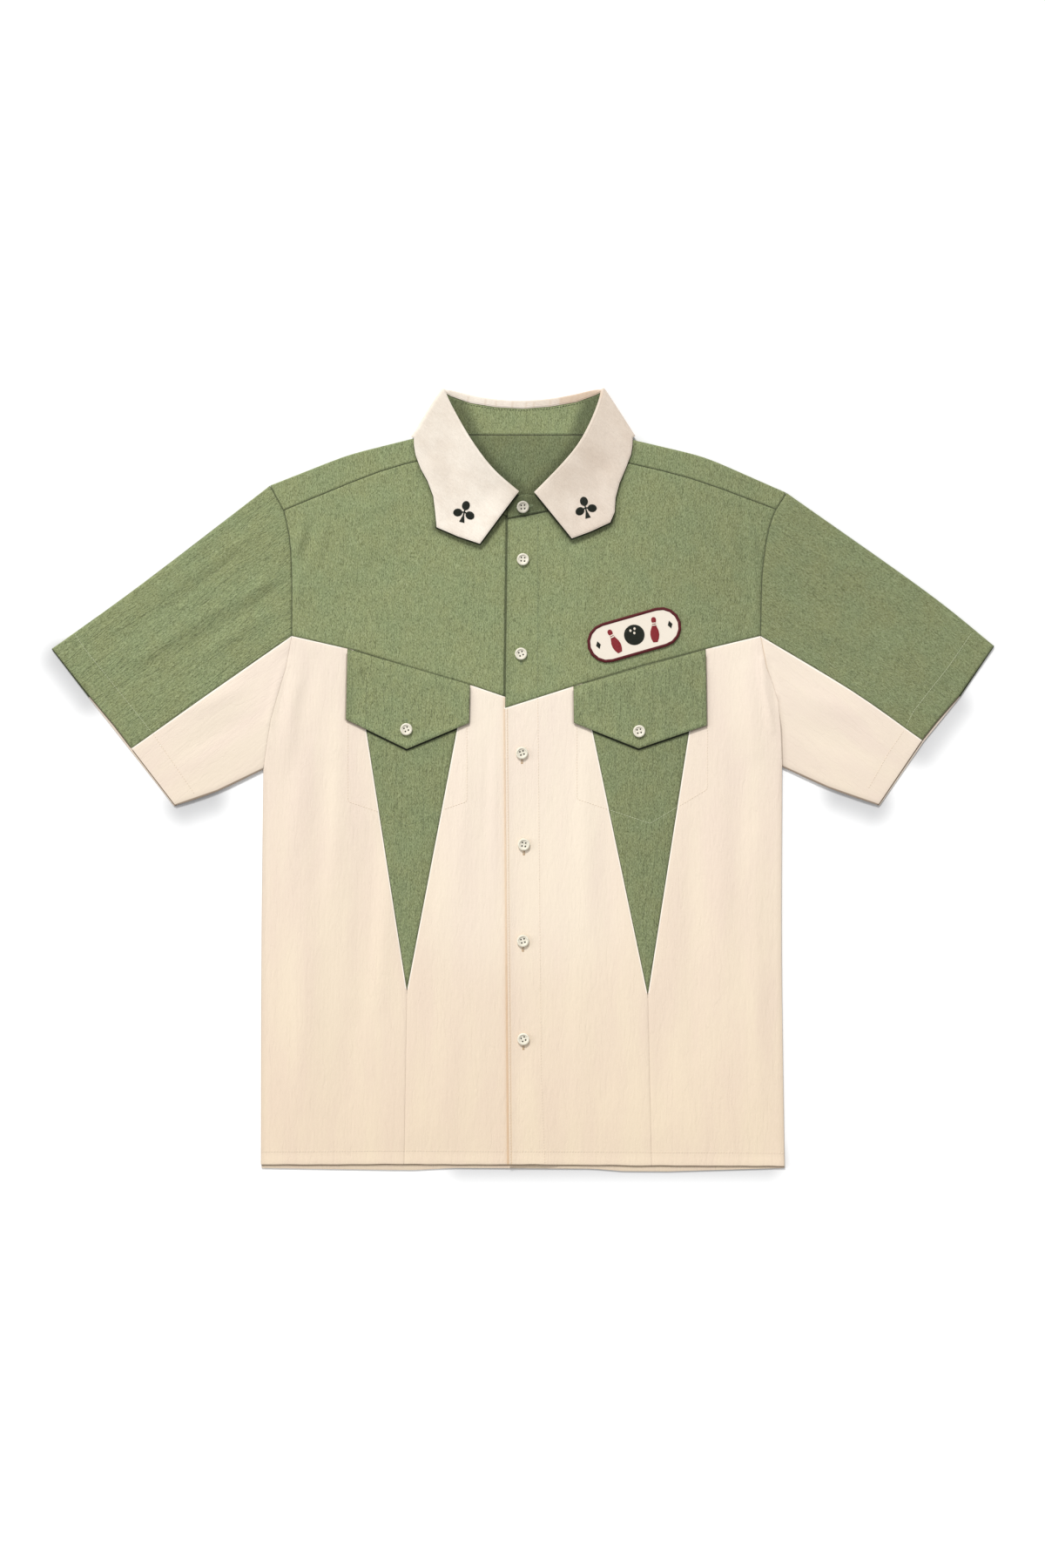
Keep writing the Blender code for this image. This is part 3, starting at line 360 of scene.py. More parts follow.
def front_swell(flat):
    """How far the front layer stands above its plain wall, in mm, at points given in mm."""
    height = swell(flat, *SLOW_SWELL) + swell(flat, *CRINKLE_SWELL)
    for x0, y0, x1, y1, half_width, top in FOLDS:
        distance, share = distance_to_line(flat, (x0, y0), (x1, y1))
        middle = 0.45 + 0.55 * np.sin(pi * share)
        height += FOLD_STRENGTH * top * np.exp(-(distance / half_width) ** 2) * middle
    return np.maximum(height, -1) * smooth_step(line_distance(flat, OUTLINE) / FADE)


print("folds:", len(FOLDS))

# %% [markdown]
# ## From a wall of the model to a piece of cloth
#
# A cut piece of the model is a thin closed wall with flat facets. To make it cloth, a copy of it
# is joined up, its triangles are paired into quads, its real edges are marked to stay crisp, and
# Subdivision Surface rounds the rest. Then all that is flat is melted into large faces again and
# cut across by an even grid, as graph paper is ruled, because folds need vertices at an even
# spacing. Last, each vertex of the front layer is moved up or down by the height function.
#
# The copy keeps the wall's outline and thickness, which is why this is better than drawing the
# pieces again.

# %% Copying, rounding and ruling a wall
SHARP = radians(38)            # an edge bent more than this is a real edge of the cloth
JOIN = 1e-5                    # the model's triangles are loose, and this joins them
PAIR_ANGLES = (radians(60), radians(80))      # how far two triangles that make a quad may differ
FLAT = radians(0.25)           # faces that bend less than this are melted together
CUT_SLACK = 2e-5               # a grid line this close to a vertex goes through it
LAYER_LEVEL = 2                # mm: what is higher than this belongs to the front layer
BACK_TOP = 1.35                # mm: and this is just above the back layer
NECK_LIFT = (118, 342, 25, 2)  # half width, lowest y, fade and height of the lift at the neck


def only(piece):
    """Select this object alone and make it the active one."""
    bpy.ops.object.select_all(action="DESELECT")
    piece.select_set(True)
    bpy.context.view_layer.objects.active = piece


def rule(mesh, spacing):
    """Melt the flat faces together and cut the mesh by a grid of upright planes."""
    work = bmesh.new()
    work.from_mesh(mesh)
    bmesh.ops.dissolve_limit(work, angle_limit=FLAT, verts=work.verts, edges=work.edges)
    for axis in (0, 1):
        values = [vertex.co[axis] for vertex in work.verts]
        low, high = min(values), max(values)
        count = int((high - low) / (spacing * MM))
        for k in range(count):
            place, normal = Vector(), Vector()
            place[axis], normal[axis] = low + (k + 0.5) * (high - low) / count, 1
            bmesh.ops.bisect_plane(work, geom=work.verts[:] + work.edges[:] + work.faces[:], dist=CUT_SLACK,
                                   plane_co=place, plane_no=normal)
    work.to_mesh(mesh)
    work.free()


def copy_node(node, name):
    """A joined-up copy of a node of the model, left in edit mode with all of it selected."""
    piece = bpy.data.objects.new(name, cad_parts[node].data.copy())
    bpy.context.scene.collection.objects.link(piece)
    only(piece)
    piece.data.materials.clear()
    bpy.ops.mesh.customdata_custom_splitnormals_clear()
    bpy.ops.object.mode_set(mode="EDIT")
    bpy.ops.mesh.select_all(action="SELECT")
    bpy.ops.mesh.remove_doubles(threshold=JOIN)
    return piece


def copy_wall(node, name, level, spacing):
    piece = copy_node(node, name)
    bpy.ops.mesh.tris_convert_to_quads(face_threshold=PAIR_ANGLES[0], shape_threshold=PAIR_ANGLES[1])
    bpy.ops.mesh.select_all(action="DESELECT")
    bpy.ops.mesh.edges_select_sharp(sharpness=SHARP)
    bpy.ops.transform.edge_crease(value=1)
    bpy.ops.object.mode_set(mode="OBJECT")
    rounded = piece.modifiers.new("rounded", "SUBSURF")
    rounded.levels = rounded.render_levels = level
    bpy.ops.object.modifier_apply(modifier=rounded.name)
    rule(piece.data, spacing)
    return piece


def get_places(mesh):
    places = np.empty(len(mesh.vertices) * 3, np.float32)
    mesh.vertices.foreach_get("co", places)
    return places.reshape(-1, 3).astype(float) / MM


def set_places(mesh, places):
    mesh.vertices.foreach_set("co", (places * MM).astype(np.float32).ravel())
    mesh.update()


def neck_lift(flat):
    half_width, low, fade, height = NECK_LIFT
    outside = np.hypot(np.maximum(0, np.abs(flat[:, 0]) - half_width), np.maximum(0, low - flat[:, 1]))
    return height * (1 - smooth_step(outside / fade))


# the corners of the flaps' lower edges
FLAPS = {"right": ((-183, 62), (-120, 31.5), (-55.5, 58.5)), "left": ((190, 56), (119.5, 32), (52.5, 58.5))}
# free edges: lines in mm, how far they stand up, and how far in the lift reaches
FREE_EDGES = {
    "pocket_flap_right": ((((-182, 108), *FLAPS["right"], (-55, 82)), 1.3, 12),
                          (((-181.5, 135.5), (-54.5, 98.5)), -1.4, 7)),
    "pocket_flap_left": ((((189.5, 108), *FLAPS["left"], (52.2, 82)), 1.3, 12),
                         (((189, 135), (52, 96.5)), -1.4, 7)),
    "front_yoke_left": ((((-16, 262), (-18.5, 74)), 0.9, 8),),
    "centre_front_left": ((((-18.5, 74), (-14.5, -397.5)), 0.9, 8),
                          (((-14.5, -397.5), (133, -399)), 0.8, 12)),
    "centre_front_right": ((((-20, -398), (-123, -397.5)), 0.8, 12),),
    "side_front_right": ((((-123, -397.5), (-271, -398)), 0.8, 12),),
    "side_front_left": ((((133, -399), (270.5, -399.5)), 0.8, 12),),
    "collar_leaf": ((((-95.9, 315.9), (-90, 259.7), (-45.9, 243), (-14, 285)), 1.8, 24),
                    (((96.8, 306.9), (94.4, 267), (53.2, 248), (18, 287)), 1.8, 24)),
}
LAP_EDGE = ((-16, 272), (-18.5, 74), (-14.5, -397.5))
SEAM_DIPS = {"green": 0.5, "cream": 0.22}    # mm: how far the cloth dips at a seam
SEAM_REACH = 3.2               # mm: and is level again this far from it
UNSEWN = ("pocket_flap", "collar", "back", "pocket_bag", "sleeve_under_back", "chest_patch")
# the front of a sleeve ends short of its back: places along the cuff, and by how much in mm
CUFFS = {
    "right": (((-487.5, 135), 0.8), ((-449, 85), 1.6), ((-425, 55), 2.9), ((-406.5, 31), 2.4),
              ((-360.5, -27.5), 1.5)),
    "left": (((487.5, 138), 0.8), ((452, 85.5), 1.6), ((430, 60), 2.8), ((414.5, 39.5), 2.5),
             ((368.5, -27), 1.6)),
}
CUFF_REACH = 16
HEM_WAVE = (26, 0.7, 0.2)      # length and height of the waves in the front hem, and their mean share
HEM_FADE = (-399, 22)          # y of the hem, and how far up its waves reach
HEM_TUCK = ((-112, 0), (-72, 2.4), (72, 2.4), (104, 0))     # x and height of the back hem's tuck
TUCK_FADE = (-402, 14)


def near_hem(flat, low, reach):
    return 1 - smooth_step((flat[:, 1] - low) / reach)


def draw_edges(node, piece):
    """Draw the front of a sleeve back at the cuff, let the front hem wave a little, and tuck the back hem."""
    places = get_places(piece.data)
    flat = places[:, :2]
    if node.startswith(("sleeve_upper", "sleeve_under_front")):
        cuff = CUFFS[node.split("_")[-1]]
        spots = np.array([spot for spot, _ in cuff])
        along = (spots[-1] - spots[0]) / np.linalg.norm(spots[-1] - spots[0])
        inward = np.array((-along[1], along[0])) * (1 if spots[0, 0] < 0 else -1)
        amount = np.interp((flat - spots[0]) @ along, (spots - spots[0]) @ along,
                           [amount for _, amount in cuff])
        near = 1 - smooth_step(line_distance(flat, spots) / CUFF_REACH)
        places[:, :2] += np.where(places[:, 2] > BACK_TOP, amount * near, 0)[:, None] * inward
    if node.startswith(("side_front", "centre_front")):
        length, height, mean = HEM_WAVE
        wave = np.array([noise.noise(Vector((x / length, 0, 3))) for x in flat[:, 0]])
        places[:, 1] += height * (wave + mean) * near_hem(flat, *HEM_FADE)
    if node == "back_body":
        places[:, 1] += np.interp(flat[:, 0], *np.array(HEM_TUCK).T) * near_hem(flat, *TUCK_FADE)
    set_places(piece.data, places)


def in_front(places):
    """Which places belong to the front layer of the shirt."""
    return places[:, 2] > LAYER_LEVEL + neck_lift(places[:, :2])


def lift_front(piece, free_edges):
    """Move what belongs to the front layer by the height function, and lift its free edges."""
    places = get_places(piece.data)
    flat = places[:, :2]
    rise = front_swell(flat)
    for line, lift, reach in free_edges:
        rise += lift * (1 - smooth_step(line_distance(flat, line) / reach))
    places[:, 2] += np.where(in_front(places), rise, 0)
    set_places(piece.data, places)


def dip_seams(piece, dip):
    """Let the cloth dip beside the edges where it is sewn to its neighbours."""
    places = get_places(piece.data)
    rim = np.empty(len(places), np.float32)
    piece.data.attributes["rim"].data.foreach_get("value", rim)
    places[:, 2] -= np.where(in_front(places), dip * (1 - smooth_step(rim / SEAM_REACH)), 0)
    set_places(piece.data, places)


def mark_rim(piece):
    """Write each vertex's distance to its piece's edge, in mm, and return the edge as a graph."""
    work = bmesh.new()
    work.from_mesh(piece.data)
    rim = {}
    for edge in work.edges:
        if len(edge.link_faces) == 2 and edge.calc_face_angle() > SHARP:
            a, b = (vertex.index for vertex in edge.verts)
            rim.setdefault(a, []).append(b)
            rim.setdefault(b, []).append(a)
    work.free()
    places = get_places(piece.data)
    order = list(rim)
    tree = kdtree.KDTree(len(order))
    for k, index in enumerate(order):
        tree.insert(places[index], k)
    tree.balance()
    nearest = [order[tree.find(place)[1]] for place in places]
    best = np.linalg.norm(places - places[nearest], axis=1)
    for pick in (0, -1):
        ends = places[[rim[index][pick] for index in nearest]]
        start = places[nearest]
        along = ends - start
        share = np.clip(np.sum((places - start) * along, axis=1) / np.sum(along * along, axis=1), 0, 1)
        best = np.minimum(best, np.linalg.norm(places - start - share[:, None] * along, axis=1))
    attribute = piece.data.attributes.new("rim", "FLOAT", "POINT")
    attribute.data.foreach_set("value", best.astype(np.float32))
    return rim


print("pieces with edges that stand up:", ", ".join(FREE_EDGES))

# %% [markdown]
# ## The cut pieces
#
# Every piece is named for what a tailor would call it, and the table says which wall it comes
# from, which cloth it is cut in, and how finely it is divided. The back lies under everything, so
# it can stay coarse. Each piece takes the place of its wall and rides on the shirt's one body. The
# box that it lies in and the area that its cloth has when it is spread out are measured before the
# folds are made, so a fold adds nothing to either.

# %% Cutting and laying the pieces
DRESS = [
    # node, cloth, record slot, subdivision level, spacing of the grid in mm
    ("back_body", "cream", "cream", 1, 9),
    ("back_yoke", "green", "sage_green", 2, 4),
    ("collar_stand", "green", "sage_green", 2, 3),
    ("collar_leaf", "collar", "collar_cream", 2, 3),
    ("chest_patch", "patch", "patch_cream", 2, 3),
]
for side in SIDES:
    DRESS += [
        (f"front_yoke_{side}", "green", "sage_green", 2, 3),
        (f"side_front_{side}", "cream", "cream", 2, 3.5),
        (f"centre_front_{side}", "cream", "cream", 2, 3.5),
        (f"wedge_{side}", "green inset", "sage_green", 2, 3),
        (f"pocket_bag_{side}", "cream", "cream", 1, 9),
        (f"pocket_flap_{side}", "green flap", "sage_green", 2, 2.5),
        (f"sleeve_upper_{side}", f"green sleeve {side}", "sage_green", 2, 3.5),
        (f"sleeve_under_front_{side}", f"cream sleeve {side}", "cream", 2, 3.5),
        (f"sleeve_under_back_{side}", f"cream sleeve {side}", "cream", 1, 9),
    ]
rims = {}
pieces = {}
# which pieces show their inside, and in which cloth
INSIDES = {"back_body": "cream inside", "back_yoke": "green inside", "sleeve_upper": "green inside",
           "sleeve_under_back": "cream inside"}
FACES_UP = 0.3                 # a face whose normal has more than this of Z faces up


def sheet_facts(piece):
    """Width and length of the box that a piece lies in, and the area of its cloth, in metres."""
    size = np.ptp(get_places(piece.data) * MM, axis=0)
    return size[:2], sum(face.area for face in piece.data.polygons) / 2


# the inside cloths are copies painted darker, as the shade inside the shirt
def mark_inside(piece, cloth):
    """The upward faces of the back layer are the shirt's inside, which is in shade."""
    piece.data.materials.append(cloth)
    for face in piece.data.polygons:
        if face.normal.z > FACES_UP and not in_front(np.array([face.center]) / MM)[0]:
            face.material_index = 1


for node, cloth, slot_name, level, spacing in DRESS:
    piece = copy_wall(node, f"cloth_{node}", level, spacing)
    (width, length), area = sheet_facts(piece)
    draw_edges(node, piece)
    lift_front(piece, FREE_EDGES.get(node, ()))
    rims[node] = mark_rim(piece)
    if not node.startswith(UNSEWN):
        dip_seams(piece, SEAM_DIPS[cloth.split()[0]])
    piece.data.materials.append(cloths[cloth])
    for start, inside in INSIDES.items():
        if node.startswith(start):
            mark_inside(piece, cloths[inside])
    piece.data.shade_smooth()
    piece.data.set_sharp_from_angle(angle=SHARP)
    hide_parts(node)
    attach(piece, "root")
    pieces[node] = piece
print("cloth pieces:", len(pieces), "faces:", sum(len(piece.data.polygons) for piece in pieces.values()))

# %% [markdown]
# ## Finding lines and heights on the cloth
#
# Stitches follow edges: a topstitch runs at an even distance inside the edge of its own piece. So
# a line can be asked for by the places that it passes on the edge, and is then moved in. Other
# lines, such as the outline of a pocket that is sewn on behind, are given point by point. Both are
# flat, and each point is then dropped onto the cloth from above.

# %% Lines on the cloth
depsgraph = bpy.context.evaluated_depsgraph_get()
grounds = {node: BVHTree.FromObject(piece, depsgraph) for node, piece in pieces.items()}


def ground(x, y, nodes):
    """The height in mm of the highest of these pieces at a point in mm, or None beside them."""
    tops = [grounds[node].ray_cast(Vector((x * MM, y * MM, 0.1)), Vector((0, 0, -1)))[0] for node in nodes]
    tops = [top.z / MM for top in tops if top]
    return max(tops) if tops else None


def edge_run(node, stops):
    """The upper edge of a piece from one place in mm to the next, as an N x 2 array."""
    rim = rims[node]
    places = get_places(pieces[node].data)
    order = list(rim)
    spots = places[order]
    marks = [order[int(np.argmin(np.hypot(spots[:, 0] - x, spots[:, 1] - y) - 0.5 * spots[:, 2]))]
             for x, y in stops]
    run = [marks[0]]
    for first, last in zip(marks, marks[1:]):
        came = {last: None}
        waiting = deque([last])
        while waiting and first not in came:
            here = waiting.popleft()
            for near in rim[here]:
                if near not in came:
                    came[near] = here
                    waiting.append(near)
        here = came[first]
        while here is not None:
            run.append(here)
            here = came[here]
    return places[run][:, :2]


def even_line(line, pitch):
    """The same line with a point at every pitch."""
    line = np.array(line, float)
    reach = np.concatenate(([0], np.cumsum(np.hypot(*np.diff(line, axis=0).T))))
    marks = np.linspace(0, reach[-1], max(2, round(reach[-1] / pitch) + 1))
    return np.stack([np.interp(marks, reach, line[:, axis]) for axis in (0, 1)], axis=1)


def inset_run(node, stops, inset):
    """A line that follows a piece's edge at a distance inside it."""
    edge = even_line(edge_run(node, stops), 1.5)
    tangent = np.gradient(edge, axis=0)
    normal = np.stack([-tangent[:, 1], tangent[:, 0]], axis=1)
    normal /= np.linalg.norm(normal, axis=1)[:, None]
    tries = range(2, len(edge) - 2, 3)
    hits = sum(ground(*(edge[k] + inset * normal[k]), (node,)) is not None for k in tries)
    line = edge + (inset if hits * 6 > len(edge) else -inset) * normal
    return line[line_distance(line, edge) > 0.93 * inset]


def edge_places(node, stops):
    """The same run as edge_run, with its heights."""
    places = get_places(pieces[node].data)[list(rims[node])]
    return np.array([places[np.argmin(np.hypot(*(places[:, :2] - spot).T) - 0.01 * places[:, 2])]
                     for spot in edge_run(node, stops)])


print("highest cloth in mm:", round(max(get_places(piece.data)[:, 2].max() for piece in pieces.values()), 2))

# %% [markdown]
# ## Painted shadows along edges
#
# Where a flap, a collar point or the lap lies on another piece, its edge casts a fine dark shadow
# on the cloth below, with a soft shade round it. That shadow is far finer than the mesh, so it is
# painted into the material of the lower cloth, which measures its distance to the upper piece's
# outline. That outline is first thinned to few points.
#
# Other light and shade that follows a line is painted in the same way: a painted highlight on the
# cream cloth folded beside a green seam, painted shade where the collar rolls over, inside the neck
# and along the rolled edges, the shade of the puckers at the back of the collar and, further on, a
# painted shadow on the floor.

# %% Painted shadows, shade and highlights beside lines
def thin_line(line, slack=0.35):
    """Drop the points that a line does not need (Douglas and Peucker's way)."""
    if len(line) < 3:
        return line
    away = distance_to_line(line, line[0], line[-1])[0]
    far = int(np.argmax(away))
    if away[far] < slack:
        return line[[0, -1]]
    return np.vstack([thin_line(line[:far + 1], slack)[:-1], thin_line(line[far:], slack)])


def thin_edges(*runs, slack=0.35):
    """Thinned edges of pieces. Each run is a piece's node and the places in mm that its edge passes."""
    return [thin_line(edge_run(node, stops), slack) for node, *stops in runs]


# paints shadow, shade and highlights into a material beside lines
def paint_shade_and_light(material, lines, bands, colour, clear=0):
    """Colour a material beside lines. A band is full up to one distance in mm and gone at the next.

    Nothing is coloured on the lines themselves, up to the distance `clear`.
    """
    cloth = Shader(material)
    flat = cloth.vector("MULTIPLY", cloth.place(), (1, 1, 0))
    nearest = None
    for start, end in (run for line in lines for run in zip(line, line[1:])):
        run = Vector((*np.subtract(end, start), 0)) * MM
        offset = cloth.vector("SUBTRACT", flat, Vector((*start, 0)) * MM)
        share = cloth.vector("DOT_PRODUCT", offset, run / run.length_squared)
        share = cloth.add("ShaderNodeClamp", {"Value": share}).outputs["Result"]
        away = cloth.vector("DISTANCE", offset, cloth.vector("SCALE", run, share))
        nearest = away if nearest is None else cloth.math("MINIMUM", nearest, away)
    shares = [cloth.smooth_range(nearest, full * MM, gone * MM, strength, 0)
              for full, gone, strength in bands]
    share = cloth.math("MAXIMUM", *shares) if len(shares) > 1 else shares[0]
    if clear:
        share = cloth.math("MULTIPLY", share, cloth.smooth_range(nearest, 0.4 * clear * MM, clear * MM, 0, 1))
    base = cloth.surface["Base Color"]
    before = base.links[0].from_socket if base.links else base.default_value[:]
    cloth.feed(base, cloth.mix(share, before, colour))


COLLAR_SIDES = thin_edges(("collar_leaf", (-112, 345), (-95.9, 315.9), (-90, 259.7)),
                          ("collar_leaf", (113, 345), (96.8, 306.9), (94.4, 267)))
COLLAR_TIPS = thin_edges(("collar_leaf", (-90, 259.7), (-45.9, 243), (-5.4, 297.9)),
                         ("collar_leaf", (94.4, 267), (53.2, 248), (10.8, 297.9)))
FLAP_EDGES = thin_edges(("pocket_flap_right", (-181.6, 128), *FLAPS["right"], (-54.6, 93)),
                        ("pocket_flap_left", (189.1, 127), *FLAPS["left"], (52, 91)))
CUFF_EDGES = thin_edges(("sleeve_upper_right", (-484, 132), (-406, 33)),
                        ("sleeve_upper_left", (484, 135), (414, 41)),
                        ("sleeve_under_front_right", (-405, 29.5), (-361, -26.5)),
                        ("sleeve_under_front_left", (413, 38), (368.5, -26)))
HEMS = thin_edges(("side_front_right", (-270.5, -398), (-123.5, -397.5)),
                  ("centre_front_right", (-122.5, -397.5), (17, -398)),
                  ("centre_front_left", (-14.5, -397.5), (132.5, -399)),
                  ("side_front_left", (133.5, -399), (270, -399.5)), slack=0.15)
SIDE_SEAMS = (((-268.8, 10.5), (-270.5, -184.5), (-271, -398)),
              ((268.2, 13), (267.8, -184.5), (270.5, -399.5)))
UNDERARMS = (((-360.5, -27.5), (-315.5, -12), (-268.5, 10.5)), ((368.5, -27), (315.5, -8.5), (268, 13)))
BAND_ENDS = (((-72, 396), (-53, 354)), ((74, 396), (58, 354)))
# where the collar rolls over, from the side to the front
ROLLS = (((-80.5, 403.5), (-75, 389), (-56, 355), (-34.5, 325), (-13, 305.5), (-4, 298)),
         ((80.8, 403.5), (77.5, 389), (62, 354), (40.5, 326.5), (20.5, 306), (11.5, 297)))
PUCKERS = ((-58, 386), (-40, 383), (-29, 381.5), (-12, 380.5), (2, 380), (10, 380), (27, 382), (38, 384),
           (49, 386), (56, 388), (64, 390))
# the edges of green pieces under which the cream cloth is folded, where a painted highlight lies on the cream
HIGHLIGHT_FOLDS = {
    "cream": (("wedge_right", (-162, 50), (-120, -218.5), (-66, 56)),
              ("wedge_left", (173, 50), (129, -223), (69, 56)),
              ("front_yoke_right", (-238.5, 149), (-187, 137.5)),
              ("front_yoke_right", (-50, 97), (-20.5, 87)),
              ("front_yoke_left", (245, 149), (196, 137.5)),
              ("front_yoke_left", (48, 96), (-18, 74.5))),
    "cream sleeve right": (("sleeve_upper_right", (-239.5, 148.5), (-406, 32)),),
    "cream sleeve left": (("sleeve_upper_left", (246, 148.5), (414, 40.5)),),
}
LAP_SIDE = [np.array(LAP_EDGE) - (0.9, 0)]
LAP_FOLD = [np.array(LAP_EDGE) + (2.6, 0)]
# colours of painted shadow and shade beside lines; on the next line the last two are painted highlights
SHADOW_GREEN, SHADE_GREEN, LEAF_SHADE = srgb(24, 30, 18), srgb(52, 58, 38), srgb(170, 156, 140)
SHADOW_BROWN, SHADE_TAN, PAINTED_HIGHLIGHT, SUNLIT = srgb(88, 64, 42), srgb(192, 152, 100), srgb(255, 250, 240), srgb(246, 237, 222)

for cloth, *settings in (
    # cloth, lines, bands of full up to, gone at and strength, colour, clear distance
    # painted shadow under the collar's points and sides, and painted shade in the V between them
    ("green", COLLAR_TIPS, ((1, 2.2, 0.85), (1, 11, 0.36)), SHADOW_GREEN),
    ("green", COLLAR_SIDES, ((0.5, 1.8, 0.55), (0, 7, 0.22)), SHADOW_GREEN),
    ("green", [((-6, 283), (9, 284))], ((4, 20, 0.66),), SHADE_GREEN),
    # painted shadow beside the lap and under the flaps
    ("green", LAP_SIDE, ((0.8, 1.6, 0.7), (0, 5, 0.12)), SHADE_GREEN),
    ("green", FLAP_EDGES, ((1.3, 2.3, 0.93), (0, 5, 0.3)), SHADOW_GREEN),
    # a dark line at the stand's lower seam with painted shade round it, and painted shade at the band's ends
    # under the roll
    ("green", [((-15.5, 269.8), (23.5, 277.4))], ((0.3, 1.2, 0.6), (0, 5, 0.25)), SHADOW_GREEN),
    ("green", BAND_ENDS, ((2, 18, 0.5),), SHADOW_GREEN),
    # painted shadow under the flaps on the insets
    ("green inset", FLAP_EDGES, ((1.3, 2.3, 0.93), (0, 5, 0.3)), SHADOW_GREEN),
    # painted shade inside the neck under the roll, and painted shadow under the front layer's edge at the
    # cuffs
    ("green inside", ROLLS, ((0, 15, 0.38),), SHADOW_GREEN),
    ("green inside", CUFF_EDGES[:2], ((0.4, 1.6, 0.7),), SHADOW_GREEN),
    # painted shadow under the flaps and beside the lap, and a tan line of painted shade along the lap's fold
    ("cream", FLAP_EDGES, ((0.9, 1.9, 0.46), (0, 4.5, 0.10)), SHADOW_BROWN),
    ("cream", LAP_SIDE, ((0.5, 1.8, 0.42), (0, 5, 0.12)), SHADE_TAN),
    ("cream", LAP_FOLD, ((0.2, 0.9, 0.32),), SHADE_TAN),
    # painted shade along the body's rolled side edges
    ("cream", SIDE_SEAMS, ((0, 1.6, 0.30), (0, 7, 0.10)), SHADOW_BROWN),
    # painted light down the middle of the front
    ("cream", [((-40, 74), (-40, -130)), ((40, 66), (40, -130))], ((0, 120, 0.2),), SUNLIT),
    # painted shade along the sleeves' rolled lower edges, and where the body's edge stands over the left
    # sleeve at the armhole
    ("cream sleeve right", UNDERARMS[:1], ((1, 2.4, 0.72), (0, 8, 0.12)), SHADOW_BROWN),
    ("cream sleeve left", UNDERARMS[1:], ((1, 2.4, 0.72), (0, 8, 0.12)), SHADOW_BROWN),
    ("cream sleeve left", [((262, 84), (267, 52), (268.3, 13))], ((0.4, 1.6, 0.5), (0, 7, 0.16)), SHADOW_BROWN),
    ("cream sleeve left", [((246, 146), (251.8, 116), (262, 84))], ((0, 1.3, 0.34),), SHADE_TAN),
    # painted shadow under the front layer's edge at the cuffs and the hem
    ("cream inside", CUFF_EDGES + HEMS, ((0.6, 1.5, 0.76),), SHADOW_BROWN),
    # painted highlights on the cream folded beside the green seams
    *((cream, thin_edges(*runs, slack=0.5), ((1, 1.7, 0.55),), PAINTED_HIGHLIGHT) for cream, runs in HIGHLIGHT_FOLDS.items()),
    # painted shade where the collar rolls over and at its side
    ("collar", ROLLS[:1], ((8, 40, 0.14),), LEAF_SHADE, 3.5),
    ("collar", ROLLS[1:], ((10, 50, 0.20),), srgb(170, 154, 136), 3.5),
    ("collar", [((-106, 386), (-94, 330))], ((4, 34, 0.13),), LEAF_SHADE),
    ("collar", [((44, 392), (76, 399))], ((2, 10, 0.36),), srgb(196, 160, 124)),
    # the shade of small puckers, painted across the back of the collar
    ("collar", [((x, y), (x + 1.5, y + 9)) for x, y in PUCKERS], ((0.2, 2.2, 0.24),), srgb(190, 164, 134)),
):
    paint_shade_and_light(cloths[cloth], *settings)
print("points of the collar's outline:", sum(len(line) for line in COLLAR_SIDES + COLLAR_TIPS))

# %% [markdown]
# ## Seam allowances
#
# Where two cream pieces meet, the edges that are turned in below the seam are cream too, so the
# seam is a shallow groove and not a dark slit. A narrow strip of the same cloth closes it from below.

# %% Strips below the cream seams
# the corners of the strip's section in mm: how far out from the edge, and how far down
STRIP_SECTION = ((-0.55, 0.9), (-0.55, 0.22), (0.85, 0.22), (0.85, 0.9))
CREAM_SEAMS = (
    ("side_front_right", -1, ((-268, 12), (-246, 112.5), (-240, 146))),
    ("side_front_right", 1, ((-123, -397), (-120.5, -221))),
    ("side_front_left", 1, ((267.5, 14.5), (251, 116), (246, 146))),
    ("side_front_left", -1, ((133, -398.5), (129.5, -225))),
)


def join_mesh(name, points, faces, material, slot_name):
    """Make one piece of points in mm and faces, as a rigid part of the shirt."""
    mesh = bpy.data.meshes.new(name)
    mesh.from_pydata((np.asarray(points) * MM).tolist(), [], faces)
    mesh.materials.append(material)
    piece = bpy.data.objects.new(name, mesh)
    bpy.context.scene.collection.objects.link(piece)
    mesh.shade_smooth()
    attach(piece, "root")
    print(name, "has", len(faces), "faces")


def tube(first, count):
    """The faces of a closed tube of rings with four points each, numbered from `first`."""
    last = first + 4 * (count - 1)
    faces = [(k + j, k + (j + 1) % 4, k + 4 + (j + 1) % 4, k + 4 + j)
             for k in range(first, last, 4) for j in range(4)]
    return [*faces, (first + 3, first + 2, first + 1, first), tuple(range(last, last + 4))]


strip_points, strip_faces = [], []
for node, way, stops in CREAM_SEAMS:
    run = edge_places(node, stops)
    strip_faces += tube(len(strip_points), len(run))
    strip_points += [(x + way * out, y, z - drop) for x, y, z in run for out, drop in STRIP_SECTION]
# the strip takes the cream cloth inside, which is painted darker as shade
join_mesh("seam_allowances", strip_points, strip_faces, cloths["cream inside"], "cream")

# %% [markdown]
# ## Thread
#
# Thread is spun and has a soft lustre, so it is smoother than cloth and catches the light. Sewing
# thread, buttonhole thread and embroidery thread are alike but for the colour.

# %% The thread materials
def make_thread(name, colour, roughness=0.5, sheen=0.2):
    thread = Shader(name)
    fibres = thread.noise(thread.place(), 0.35, 0.35)
    tone = thread.mix(thread.range(fibres, 0.3, 0.7, 0, 1), shade(colour, 0.82), shade(colour, 1.15))
    return thread.finish(tone, fibres, 0.15, 0.6,
                         {"Roughness": roughness, "Sheen Weight": sheen, "Specular IOR Level": 0.35})


